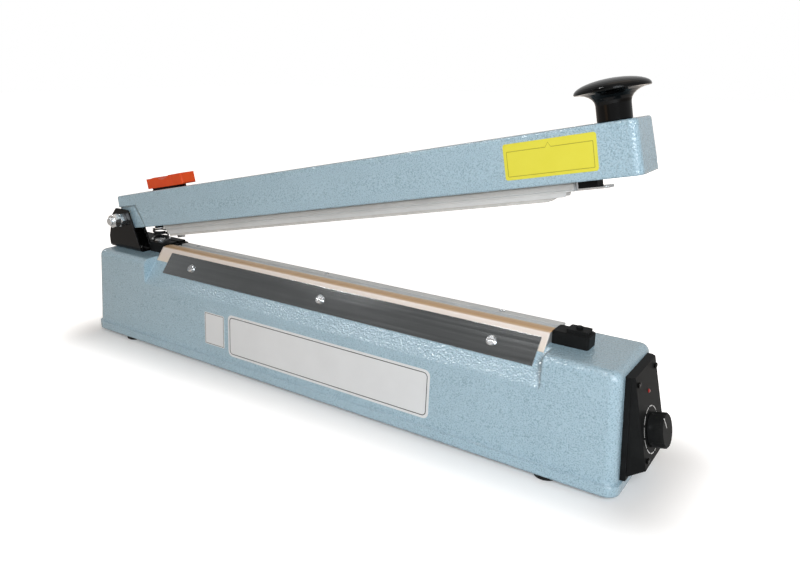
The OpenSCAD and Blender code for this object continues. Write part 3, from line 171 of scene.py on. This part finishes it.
def join_bands(name, bands, material, body):
    """One mesh of several separate bands, each a 2 x n array of points."""
    points, faces, start = [], [], 0
    for band in bands:
        n = band.shape[1]
        i = start + np.arange(n - 1)
        faces += np.stack([i, i + n, i + n + 1, i + 1], -1).tolist()
        points.append(band.reshape(-1, 3))
        start += 2 * n
    return solid(name, np.concatenate(points), faces, material, body)


# Materials

def colour(code, alpha=1.0):
    """sRGB hex code as linear light."""
    parts = np.array([int(code[i:i + 2], 16) for i in (1, 3, 5)]) / 255
    linear = np.where(parts <= 0.04045, parts / 12.92, ((parts + 0.055) / 1.055) ** 2.4)
    return (*linear.tolist(), alpha)


def add(tree, kind, links=None, values=None, **settings):
    """Adds one shader node, with its settings, its socket values and the outputs linked into it."""
    made = tree.nodes.new(kind)
    for key, value in settings.items():
        setattr(made, key, value)
    for key, value in (values or {}).items():
        made.inputs[key].default_value = value
    for key, source in (links or {}).items():
        tree.links.new(source, made.inputs[key])
    return made


def ramp(tree, source, stops):
    """Colour ramp over a value: stops are (position, hex code)."""
    made = add(tree, "ShaderNodeValToRGB", links={"Fac": source})
    while len(made.color_ramp.elements) < len(stops):
        made.color_ramp.elements.new(0.5)
    for element, (position, code) in zip(made.color_ramp.elements, stops):
        element.position = position
        element.color = colour(code)
    return made.outputs["Color"]


def start(name):
    """New material with Object coordinates in metres and a Principled shader."""
    material = bpy.data.materials.new(name)
    material.use_nodes = True
    tree = material.node_tree
    tree.nodes.clear()
    place = add(tree, "ShaderNodeTexCoord").outputs["Object"]
    shader = add(tree, "ShaderNodeBsdfPrincipled")
    out = add(tree, "ShaderNodeOutputMaterial")
    tree.links.new(shader.outputs[0], out.inputs[0])
    return material, tree, place, shader


def finish_shader(tree, shader, base, roughness, metallic=0.0, bump=None, coat=0.0, coat_roughness=0.03,
                  edge=0.0, specular=0.5):
    """Sets a Principled shader.

    base is a hex code or an output, bump is (output, height in mm, strength), and edge is a rounding radius in mm.
    """
    if isinstance(base, str):
        shader.inputs["Base Color"].default_value = colour(base)
    else:
        tree.links.new(base, shader.inputs["Base Color"])
    if isinstance(roughness, float):
        shader.inputs["Roughness"].default_value = roughness
    else:
        tree.links.new(roughness, shader.inputs["Roughness"])
    shader.inputs["Metallic"].default_value = metallic
    shader.inputs["Specular IOR Level"].default_value = specular
    shader.inputs["Coat Weight"].default_value = coat
    shader.inputs["Coat Roughness"].default_value = coat_roughness
    normal = None
    if edge:
        normal = add(tree, "ShaderNodeBevel", values={"Radius": edge * MM}, samples=6).outputs[0]
    if bump:
        links = {"Height": bump[0]}
        if normal:
            links["Normal"] = normal
        normal = add(tree, "ShaderNodeBump", links=links,
                     values={"Distance": bump[1] * MM, "Strength": bump[2]}).outputs[0]
    if normal:
        tree.links.new(normal, shader.inputs["Normal"])
        tree.links.new(normal, shader.inputs["Coat Normal"])


def span(tree, source, low, high):
    """Maps a value from 0..1 to low..high."""
    values = {"To Min": low, "To Max": high}
    return add(tree, "ShaderNodeMapRange", links={"Value": source}, values=values).outputs[0]


def maths(tree, operation, *terms):
    """One arithmetic node; each term is a number, set on the node's own socket, or an output."""
    links = {i: t for i, t in enumerate(terms) if not isinstance(t, float)}
    values = {i: t for i, t in enumerate(terms) if isinstance(t, float)}
    return add(tree, "ShaderNodeMath", links=links, values=values, operation=operation).outputs[0]


def noise(tree, place, size_mm, detail=2.0, roughness=0.5, stretch=None):
    """Noise whose features are about size_mm across; stretch makes them longer along an axis."""
    if stretch:
        place = add(tree, "ShaderNodeMapping", links={"Vector": place}, values={"Scale": stretch}).outputs[0]
    return add(tree, "ShaderNodeTexNoise", links={"Vector": place},
               values={"Scale": 1 / (size_mm * MM), "Detail": detail, "Roughness": roughness}).outputs["Fac"]


def hammered_enamel(name, light, mid, dark, edge):
    """Stoved hammer-finish enamel on a casting.

    A pale colour with small darker flecks; the clear gloss over it is dimpled like orange peel, so it glints.
    """
    fleck_mm, cloud_mm, peel_mm, dimple_mm = 0.95, 40.0, 1.6, 0.62
    material, tree, place, shader = start(name)
    flecks = noise(tree, place, fleck_mm, 1.0, 0.4)
    cloud = noise(tree, place, cloud_mm, 2.0)
    mixed = maths(tree, "MULTIPLY_ADD", cloud, 0.12, flecks)
    tint = ramp(tree, mixed, [(0.38, dark), (0.52, mid), (0.70, light)])
    peel = noise(tree, place, peel_mm, 1.0, 0.4)
    finish_shader(tree, shader, tint, span(tree, peel, 0.32, 0.45), bump=(peel, dimple_mm, 1.0), coat=1.0,
                  coat_roughness=0.04, edge=edge)
    return material


def moulded(name, code, pale, roughness, grain_mm=0.5, height=0.03, edge=0.5, specular=0.5):
    """Injection-moulded plastic with a fine spark-eroded grain and faint handling marks."""
    material, tree, place, shader = start(name)
    grain = noise(tree, place, grain_mm, 2.0)
    marks = noise(tree, place, 14.0, 4.0, 0.6)
    tint = ramp(tree, marks, [(0.35, code), (0.75, pale)])
    finish_shader(tree, shader, tint, span(tree, marks, roughness - 0.06, roughness + 0.08),
                  bump=(grain, height, 0.4), edge=edge, specular=specular)
    return material


def metal(name, code, pale, roughness, stretch, size_mm=0.6, edge=0.3, metallic=1.0, lines_mm=0.02):
    """Metal drawn, rolled or turned along one axis, with hairlines along it; anodised metal is partly matt."""
    material, tree, place, shader = start(name)
    lines = noise(tree, place, size_mm, 3.0, 0.6, stretch)
    cloud = noise(tree, place, 22.0, 3.0)
    tint = ramp(tree, maths(tree, "MULTIPLY", lines, cloud), [(0.1, code), (0.45, pale)])
    finish_shader(tree, shader, tint, span(tree, lines, roughness - 0.04, roughness + 0.08), metallic=metallic,
                  bump=(lines, lines_mm, 0.25), edge=edge)
    return material


def rubbery(name, code, pale, roughness=0.7):
    """Moulded rubber: matt, with a dusty bloom in patches."""
    material, tree, place, shader = start(name)
    bloom = noise(tree, place, 6.0, 4.0, 0.6)
    tint = ramp(tree, bloom, [(0.4, code), (0.8, pale)])
    finish_shader(tree, shader, tint, roughness, bump=(noise(tree, place, 0.7), 0.04, 0.4), edge=0.4,
                  specular=0.25)
    return material


def coated_cloth(name):
    """Woven glass cloth with a fluoropolymer coat: cream with a faint weave, scorched tan over the hot ribbon.

    The map's X runs along the ridge and its Y up the front and over the crest, both in mm. The weave is the product
    of one sine along each, and the colour goes by Y, shifted by a slow noise, as a share of the cloth's width.
    """
    weave_mm, wander_mm, width_mm = 1.0, 1.6, 34.0
    material, tree, place, shader = start(name)
    uv = add(tree, "ShaderNodeUVMap", uv_map="cloth").outputs[0]
    across = add(tree, "ShaderNodeSeparateXYZ", links={"Vector": uv}).outputs
    sines = [maths(tree, "SINE", maths(tree, "MULTIPLY", across[way], math.pi * 2 / weave_mm)) for way in "XY"]
    weave = maths(tree, "MULTIPLY", *sines)
    heat = noise(tree, place, 30.0, 3.0, 0.5, (0.3, 1, 1))
    share = maths(tree, "DIVIDE", maths(tree, "MULTIPLY_ADD", heat, wander_mm, across["Y"]), width_mm)
    tint = ramp(tree, share, [(0.0, "#EBDDCB"), (0.46, "#F0E4DA"), (0.50, "#E5C59F"), (0.58, "#D2A878"),
                              (0.70, "#D9B284"), (0.78, "#E0C49A"), (1.0, "#DCCDB6")])
    finish_shader(tree, shader, tint, 0.38, bump=(weave, 0.05, 0.3), coat=0.2, coat_roughness=0.3)
    return material


def printed(name, code, pale, roughness=0.4):
    """Printed vinyl film: flat ink with a soft sheen and the enamel's dimples showing faintly through."""
    material, tree, place, shader = start(name)
    cloud = noise(tree, place, 25.0, 3.0)
    tint = ramp(tree, cloud, [(0.3, code), (0.8, pale)])
    finish_shader(tree, shader, tint, roughness, bump=(noise(tree, place, 2.6, 1.0), 0.05, 0.25))
    return material


def lens(name, code):
    """Clear tinted lens of a lamp, unlit."""
    material, tree, place, shader = start(name)
    cloud = noise(tree, place, 1.0)
    finish_shader(tree, shader, ramp(tree, cloud, [(0.2, code), (0.9, "#B5261E")]), 0.12, coat=0.6)
    return material


BLUE = hammered_enamel("hammered_enamel", "#AFCBD8", "#A3C1CF", "#8AA8B6", 2.5)
BLACK = moulded("black_abs", "#191A1A", "#212222", 0.45, specular=0.05)
GLOSS = moulded("gloss_phenolic", "#030303", "#060606", 0.1, 3.0, 0.01, 0.8, specular=0.2)
ORANGE = moulded("orange_abs", "#EF5020", "#F55C26", 0.34, 0.8, 0.02, 0.7, specular=0.3)
NYLON = moulded("white_nylon", "#DAD8D0", "#E6E4DC", 0.45)
ENAMEL_BLACK = moulded("black_gloss_enamel", "#050505", "#0A0A0A", 0.14, 4.0, 0.02, 0.6, specular=0.2)
ALLOY = metal("anodised_aluminium", "#D2D5D5", "#E6E8E7", 0.45, (0.03, 1, 1), metallic=0.3)
RIDGE = metal("ridge_aluminium", "#A3A7A7", "#C6C9C9", 0.42, (0.03, 1, 1), metallic=0.5)
STRIP = metal("polished_stainless", "#A6A9AA", "#AEB1B2", 0.09, (0.02, 1, 1), 2.5, lines_mm=0.004)
ZINC = metal("zinc_plated_steel", "#C8CBCD", "#E6E8E9", 0.2, (1, 1, 1), 1.2)
SHEET = metal("rolled_steel", "#7F8284", "#A3A6A8", 0.4, (0.05, 1, 1))
BRASS = metal("turned_brass", "#B8954A", "#D9BE7C", 0.28, (1, 1, 1), 0.9)
CORE = metal("varnished_laminations", "#5C5F63", "#7A7D80", 0.5, (1, 1, 0.2))
SPRING = metal("black_oxide_wire", "#2A2B2C", "#4A4C4D", 0.35, (1, 1, 1))
RUBBER = rubbery("black_rubber", "#141414", "#232322")
SILICONE = rubbery("silicone_rubber", "#C9C8C3", "#DAD8D3", 0.55)
COIL = moulded("varnished_copper_coil", "#A66E32", "#C08844", 0.35, 0.6, 0.2)
BOARD = moulded("circuit_laminate", "#245A39", "#34704A", 0.3)
PARTS = moulded("component_blue", "#2C3F78", "#3E5290", 0.35)
TAPE = moulded("glass_tape", "#A9794A", "#C29768", 0.6)
CLOTH = coated_cloth("ptfe_glass_cloth")
LAMP = lens("red_lens", "#6E0D0A")
WHITE_INK = printed("white_ink", "#E4E5E3", "#F0F1EF", 0.45)
LABEL = printed("white_vinyl", "#E4E6E6", "#E9EBEB", 0.4)
BLACK_INK = printed("black_ink", "#1B1C1C", "#262727", 0.45)
YELLOW = printed("yellow_vinyl", "#E4DB3E", "#EAE24A", 0.5)
BROWN_INK = printed("brown_ink", "#8E8420", "#9C922A", 0.45)

finishes = {
    "casting_paint": BLUE, "floor_steel": SHEET, "bright_steel": ZINC, "black_rubber": RUBBER,
    "black_moulding": BLACK, "dark_screws": ENAMEL_BLACK, "lamp_lens": LAMP, "brass_parts": BRASS,
    "board_green": BOARD, "board_parts_blue": PARTS, "white_nylon": NYLON, "core_steel": CORE,
    "coil_copper": COIL, "ridge_alloy": RIDGE, "ridge_tape": TAPE, "coated_cloth": CLOTH,
    "polished_strip": STRIP, "bar_alloy": ALLOY, "black_enamel": ENAMEL_BLACK, "spring_steel": SPRING,
    "silicone_rubber": SILICONE, "knob_gloss": GLOSS, "orange_moulding": ORANGE}

slot_of = {row["node"]: row["material_slot"] for row in frame["record"]["subparts"]}
for node, piece in frame["nodes"].items():
    if not piece.material_slots:
        piece.data.materials.append(None)
    for held in piece.material_slots:
        held.material = finishes[slot_of[node]]


# Labels on the castings, whose walls lean back by their draft

def on_front(x, z, lift):
    """Point of the base's front wall at height z: half the width less the ledge and the draft in front."""
    return on_base(x, -(HALF_W - LEDGE - DRAFT * (np.asarray(z) - SKIRT_TOP)) - lift, z)


def on_arm_front(x, z, lift):
    """Point of the arm's front wall at height z over the pivot, which leans back from its lower edge."""
    return on_arm(x, -(ARM_HALF - ARM_DRAFT * (np.asarray(z) - ARM_LOW)) - lift, z)


def on_panel(y, x, lift):
    """Point of the sloping dial panel."""
    return on_dial(x, y, lift)


def label(name, outer, r, place, film, body, border, width, ink):
    """Film with rounded corners of radius r, and over it a printed border line."""
    plate(name, rounded_outline(*outer, r), place, FILM_LOW, FILM_TOP, film, body)
    line_loop(name + "_border", border, width, place, INK, ink, body)


def shrunk(outer, by, r):
    """Outline of a label drawn in by some mm, with corners of radius r."""
    x0, x1, y0, y1 = outer
    return rounded_outline(x0 + by, x1 - by, y0 + by, y1 - by, r)


label("instruction_label", LARGE_LABEL, 5, on_front, LABEL, "base", shrunk(LARGE_LABEL, 2.5, 3.5), 0.7, BLACK_INK)
label("rating_label", SMALL_LABEL, 1.5, on_front, LABEL, "base", shrunk(SMALL_LABEL, 1.0, 0.8), 0.5, BLACK_INK)
# The arm label's border has a small peak in its upper line
peak_x, peak_half, line_top = 487.5, 2.0, 14.5
arm_border = rounded_outline(456.5, 518.5, -2.6, line_top, 0.5)
peak = [[peak_x + peak_half, line_top], [peak_x, line_top + 3.1], [peak_x - peak_half, line_top]]
arm_border = np.insert(arm_border, 6, peak, axis=0)
label("arm_label", ARM_LABEL, 2, on_arm_front, YELLOW, "arm", arm_border, 0.35, BROWN_INK)

# Broken ring round the dial, and the pointer line on the knob's face
arcs = []
for middle in (np.arange(RING_ARCS) + 0.5) * 360 / RING_ARCS:
    a = np.radians(np.linspace(middle - RING_HALF, middle + RING_HALF, 9))
    arcs.append(np.stack([on_panel(r * np.sin(a), -r * np.cos(a), 0.06) for r in (RING_OUT, RING_IN)]))
join_bands("dial_ring", arcs, WHITE_INK, "base")


def on_knob(x, y, lift):
    """Point of the knob's face in a frame turned by the angle at which the dial stands."""
    c, s = math.cos(DIAL_SET), math.sin(DIAL_SET)
    return on_dial(x * c - y * s, x * s + y * c, DIAL_FACE + np.asarray(lift))


pointer = rounded_outline(POINTER_GAP - DIAL_R, -POINTER_END, -POINTER_HALF, POINTER_HALF, 0.2)
plate("pointer_line", pointer, on_knob, -0.45, -0.05, WHITE_INK, "timer_dial")


# Cloth over the ridge

def crest_profile():
    """Outline of the cloth in Y and Z, mm: up the bevel, round the crest, across it and down its back.

    Across the crest it swells by swell * exp(-(d / half)^6) over the tape and the ribbon, d from the jaw's middle.
    """
    swell, half = 0.55, 3.9
    top = BASE_TOP + RIDGE_H
    turn_y = FRONT_BEND * math.tan(BEVEL / 2) - RIDGE_FRONT
    back_y = RIDGE_DEPTH - BACK_BEND - RIDGE_FRONT
    z = np.linspace(top - CLOTH_DROP, top - FRONT_BEND + FRONT_BEND * math.cos(BEVEL), 14)[:-1]
    rise = np.stack([(z - top) / math.tan(BEVEL) - RIDGE_FRONT, z], -1)
    a = math.pi / 2 + np.linspace(BEVEL, 0, 7)
    turn = np.stack([turn_y + FRONT_BEND * np.cos(a), top - FRONT_BEND + FRONT_BEND * np.sin(a)], -1)
    y = np.linspace(turn_y, back_y, 15)[1:]
    over = np.stack([y, top + swell * np.exp(-((y - JAW + RIDGE_FRONT) / half) ** 6)], -1)
    a = np.linspace(math.pi / 2, 0, 5)[1:]
    back = np.stack([back_y + BACK_BEND * np.cos(a), top - BACK_BEND + BACK_BEND * np.sin(a)], -1)
    z = np.linspace(top - BACK_BEND - 0.2, BASE_TOP + CLOTH_END, 5)
    fall = np.stack([np.full(5, RIDGE_DEPTH - RIDGE_FRONT), z], -1)
    return np.concatenate([rise, turn, over, back, fall])


def cloth():
    """The profile carried along X, a little off the ridge.

    The ripples are sin(x / 17) cos(x / 41 + run / 5) over the run of the profile. They begin where the clamp strip
    ends and die out towards the back edge.
    """
    held, fade_in, fade_out = 9, 4, 6
    profile = crest_profile()
    along = np.gradient(profile, axis=0)
    out = np.stack([-along[:, 1], along[:, 0]], -1) / np.linalg.norm(along, axis=1)[:, None]
    run = np.concatenate([[0], np.cumsum(np.linalg.norm(np.diff(profile, axis=0), axis=1))])
    x0, x1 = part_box("ptfe_cloth")[0].x / MM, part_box("ptfe_cloth")[1].x / MM
    x = np.linspace(x0, x1, 260)
    loose = np.clip((run - held) / fade_in, 0, 1) * np.clip((run[-1] - run) / fade_out, 0, 1)
    waves = np.sin(x / 17.0)[:, None] * np.cos(x[:, None] / 41.0 + run[None, :] / 5)
    lift = CLOTH_LIFT + RIPPLE / 2 * (1 + waves) * loose[None, :]
    points = np.zeros((len(x), len(run), 3))
    points[..., 0] = x[:, None]
    points[..., 1] = profile[None, :, 0] + out[None, :, 0] * lift
    points[..., 2] = profile[None, :, 1] + out[None, :, 1] * lift
    piece = surface("sealing_cloth", points[:, ::-1] * MM, CLOTH, "base")
    layer = piece.data.uv_layers.new(name="cloth")
    grid = np.stack(np.meshgrid(x - x0, run[::-1], indexing="ij"), -1).reshape(-1, 2)
    index = np.zeros(len(piece.data.loops), np.int32)
    piece.data.loops.foreach_get("vertex_index", index)
    layer.data.foreach_set("uv", grid[index].astype(np.float32).ravel())
    thick = piece.modifiers.new("thickness", "SOLIDIFY")
    thick.thickness = CLOTH_THICK * MM
    thick.offset = 0
    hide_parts("ptfe_cloth")


cloth()


# Return spring under the arm

def spring():
    """Round wire swept along a helix whose end turns lie flat."""
    low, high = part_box("return_spring")
    middle = (low + high) / 2 / MM
    radius = (high.y - low.y) / 2 / MM - WIRE
    t = np.linspace(0, 1, 220)
    rise = np.clip((t * TURNS - FLAT_TURNS) / (TURNS - 2 * FLAT_TURNS), 0, 1)
    z = low.z / MM + WIRE + rise * ((high.z - low.z) / MM - 2 * WIRE)
    a = 2 * math.pi * TURNS * t
    line = np.stack([middle.x + radius * np.cos(a), middle.y + radius * np.sin(a), z], -1)
    ahead = np.gradient(line, axis=0)
    ahead /= np.linalg.norm(ahead, axis=1)[:, None]
    out = np.stack([np.cos(a), np.sin(a), np.zeros(len(a))], -1)
    over = np.cross(ahead, out)
    b = np.linspace(0, 2 * math.pi, 16, endpoint=False)[None, :, None]
    points = line[:, None] + WIRE * (np.cos(b) * out[:, None] + np.sin(b) * over[:, None])
    piece = surface("return_coil", points[:, ::-1] * MM, SPRING, "base", closed=True)
    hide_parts("return_spring")
    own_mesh(piece)


spring()


# Studio: floor, backdrop, lamps and camera

def seen(tree, camera_level, gloss_level):
    """How brightly a surface shows: one level for the camera and through glass, one in gloss, 0 for other rays."""
    path = add(tree, "ShaderNodeLightPath").outputs
    direct = maths(tree, "MAXIMUM", path["Is Camera Ray"], path["Is Transmission Ray"])
    gloss = maths(tree, "MULTIPLY", path["Is Glossy Ray"], gloss_level)
    return maths(tree, "MULTIPLY_ADD", direct, camera_level, gloss)


def white_paper(name, near, reach):
    """Matt white paper that is seen lifted to white.

    The lift is a share, near, round the base's footprint, and whole past reach metres from it, so the floor round
    the base is painted darker as a contact shadow, on top of the real shadows that show through there.
    """
    half_x, half_y, in_gloss = 0.285, 0.035, 0.2
    material, tree, place, shader = start(name)
    tree.nodes.remove(shader)
    side = add(tree, "ShaderNodeVectorMath", links={0: place}, operation="ABSOLUTE").outputs[0]
    past = add(tree, "ShaderNodeVectorMath", links={0: side}, values={1: (half_x, half_y, 0)}, operation="SUBTRACT")
    past = add(tree, "ShaderNodeVectorMath", links={0: past.outputs[0]}, operation="MAXIMUM").outputs[0]
    away = add(tree, "ShaderNodeVectorMath", links={0: past}, operation="LENGTH").outputs["Value"]
    # Painted shadow: the glow is held down round the base's footprint, so the floor there shows darker than the
    # lamps alone make it
    rise = add(tree, "ShaderNodeMapRange", links={"Value": away}, interpolation_type="SMOOTHSTEP",
               values={"From Max": reach, "To Min": near, "To Max": 1.0}).outputs[0]
    dull = maths(tree, "MULTIPLY", rise, in_gloss)
    paper = add(tree, "ShaderNodeBsdfDiffuse", values={"Color": colour("#F4F4F3")})
    light = add(tree, "ShaderNodeEmission", links={"Strength": seen(tree, rise, dull)},
                values={"Color": colour("#FFFFFF")})
    both = add(tree, "ShaderNodeAddShader", links={0: paper.outputs[0], 1: light.outputs[0]})
    out = next(n for n in tree.nodes if n.bl_idname == "ShaderNodeOutputMaterial")
    tree.links.new(both.outputs[0], out.inputs[0])
    return material


def floor():
    """Flat square of 12 m at the soles of the feet."""
    u = np.linspace(-6, 6, 3)
    points = np.stack(np.meshgrid(u, u, [0.0], indexing="ij"), -1).reshape(3, 3, 3)
    mesh = bpy.data.meshes.new("floor")
    quads = [[r * 3 + c, (r + 1) * 3 + c, (r + 1) * 3 + c + 1, r * 3 + c + 1] for r in range(2) for c in range(2)]
    mesh.from_pydata([tuple(p) for p in points.reshape(-1, 3).tolist()], [], quads)
    mesh.materials.append(white_paper("white_paper", 0.12, 0.1))
    made = bpy.data.objects.new("floor", mesh)
    bpy.context.collection.objects.link(made)


def lamp(name, place, aim, size, watts, tint="#FFFFFF", matt=True, gloss=True):
    """Square soft box at place, facing aim; it can be kept off matt surfaces or out of gloss."""
    data = bpy.data.lights.new(name, "AREA")
    data.size = size
    data.energy = watts
    data.color = colour(tint)[:3]
    made = bpy.data.objects.new(name, data)
    made.location = place
    made.visible_camera = False
    made.visible_diffuse = matt
    made.visible_glossy = gloss
    made.rotation_euler = (Vector(aim) - Vector(place)).to_track_quat("-Z", "Y").to_euler()
    bpy.context.collection.objects.link(made)


def studio():
    """Soft box over the front right, weaker ones above, behind and low at the left, and two small ones for glints.

    The room shows pale in gloss, but dark round one direction over the front left, which the clamp strip reflects.
    """
    lamp("key", (0.85, -0.95, 0.8), (0.1, 0, 0.1), 0.6, 15.0, "#F2F8FF")
    lamp("top", (0.1, 0.6, 1.7), (0, 0, 0.1), 1.0, 0.9, "#FFDCB4")
    lamp("back", (0.1, 1.8, 0.4), (0, 0, 0.1), 0.9, 7.0, "#FFF4E8", gloss=False)
    lamp("left", (-0.6, -1.2, 0.3), (-0.2, 0, 0.1), 0.5, 0.6, "#FFC890")
    lamp("glint_right", (-0.385, -0.57, 1.37), (0.1, 0, 0.1), 0.2, 6.0, matt=False)
    lamp("glint_middle", (-0.9, -0.5, 1.2), (0.1, 0, 0.1), 0.2, 4.5, matt=False)
    world = bpy.data.worlds.new("room")
    bpy.context.scene.world = world
    world.use_nodes = True
    tree = world.node_tree
    tree.nodes.clear()
    dark_way, pale, dark, fill_level = (-0.48, -0.53, 0.70), 0.58, 0.17, 0.18
    towards = add(tree, "ShaderNodeTexCoord").outputs["Generated"]
    nearness = add(tree, "ShaderNodeVectorMath", links={0: towards}, values={1: dark_way},
                   operation="DOT_PRODUCT").outputs["Value"]
    gloss = add(tree, "ShaderNodeMapRange", links={"Value": nearness}, interpolation_type="SMOOTHSTEP",
                values={"From Min": 0.84, "From Max": 0.97, "To Min": pale, "To Max": dark}).outputs[0]
    sky = add(tree, "ShaderNodeBackground", links={"Strength": seen(tree, 1.0, gloss)},
              values={"Color": colour("#FFFFFF")})
    share = maths(tree, "MULTIPLY", add(tree, "ShaderNodeLightPath").outputs["Is Diffuse Ray"], fill_level)
    fill = add(tree, "ShaderNodeBackground", links={"Strength": share}, values={"Color": colour("#FFE6CC")})
    both = add(tree, "ShaderNodeAddShader", links={0: sky.outputs[0], 1: fill.outputs[0]})
    out = add(tree, "ShaderNodeOutputWorld")
    tree.links.new(both.outputs[0], out.inputs[0])


def camera():
    """Camera at the photograph's place: turned 34 degrees left of the back, 17.65 down, rolled 0.45."""
    yaw, pitch, roll = math.radians(34.0), math.radians(17.65), math.radians(0.45)
    focal_px, width_px, sensor_mm = 713.76, 800, 36
    place = (BASE_X + 0.40648, -0.47572, 0.28954)
    ahead = Vector((-math.sin(yaw) * math.cos(pitch), math.cos(yaw) * math.cos(pitch), -math.sin(pitch)))
    right = Vector((math.cos(yaw), math.sin(yaw), 0))
    up = right.cross(ahead)
    side = right * math.cos(roll) + up * math.sin(roll)
    top = up * math.cos(roll) - right * math.sin(roll)
    data = bpy.data.cameras.new("camera")
    data.sensor_width = sensor_mm
    data.lens = focal_px / width_px * sensor_mm
    data.clip_end = 30
    made = bpy.data.objects.new("camera", data)
    turn = Matrix((side, top, -ahead)).transposed().to_4x4()
    made.matrix_world = Matrix.Translation(place) @ turn
    bpy.context.collection.objects.link(made)
    bpy.context.scene.camera = made


floor()
studio()
camera()
bpy.context.scene.view_settings.view_transform = "Standard"
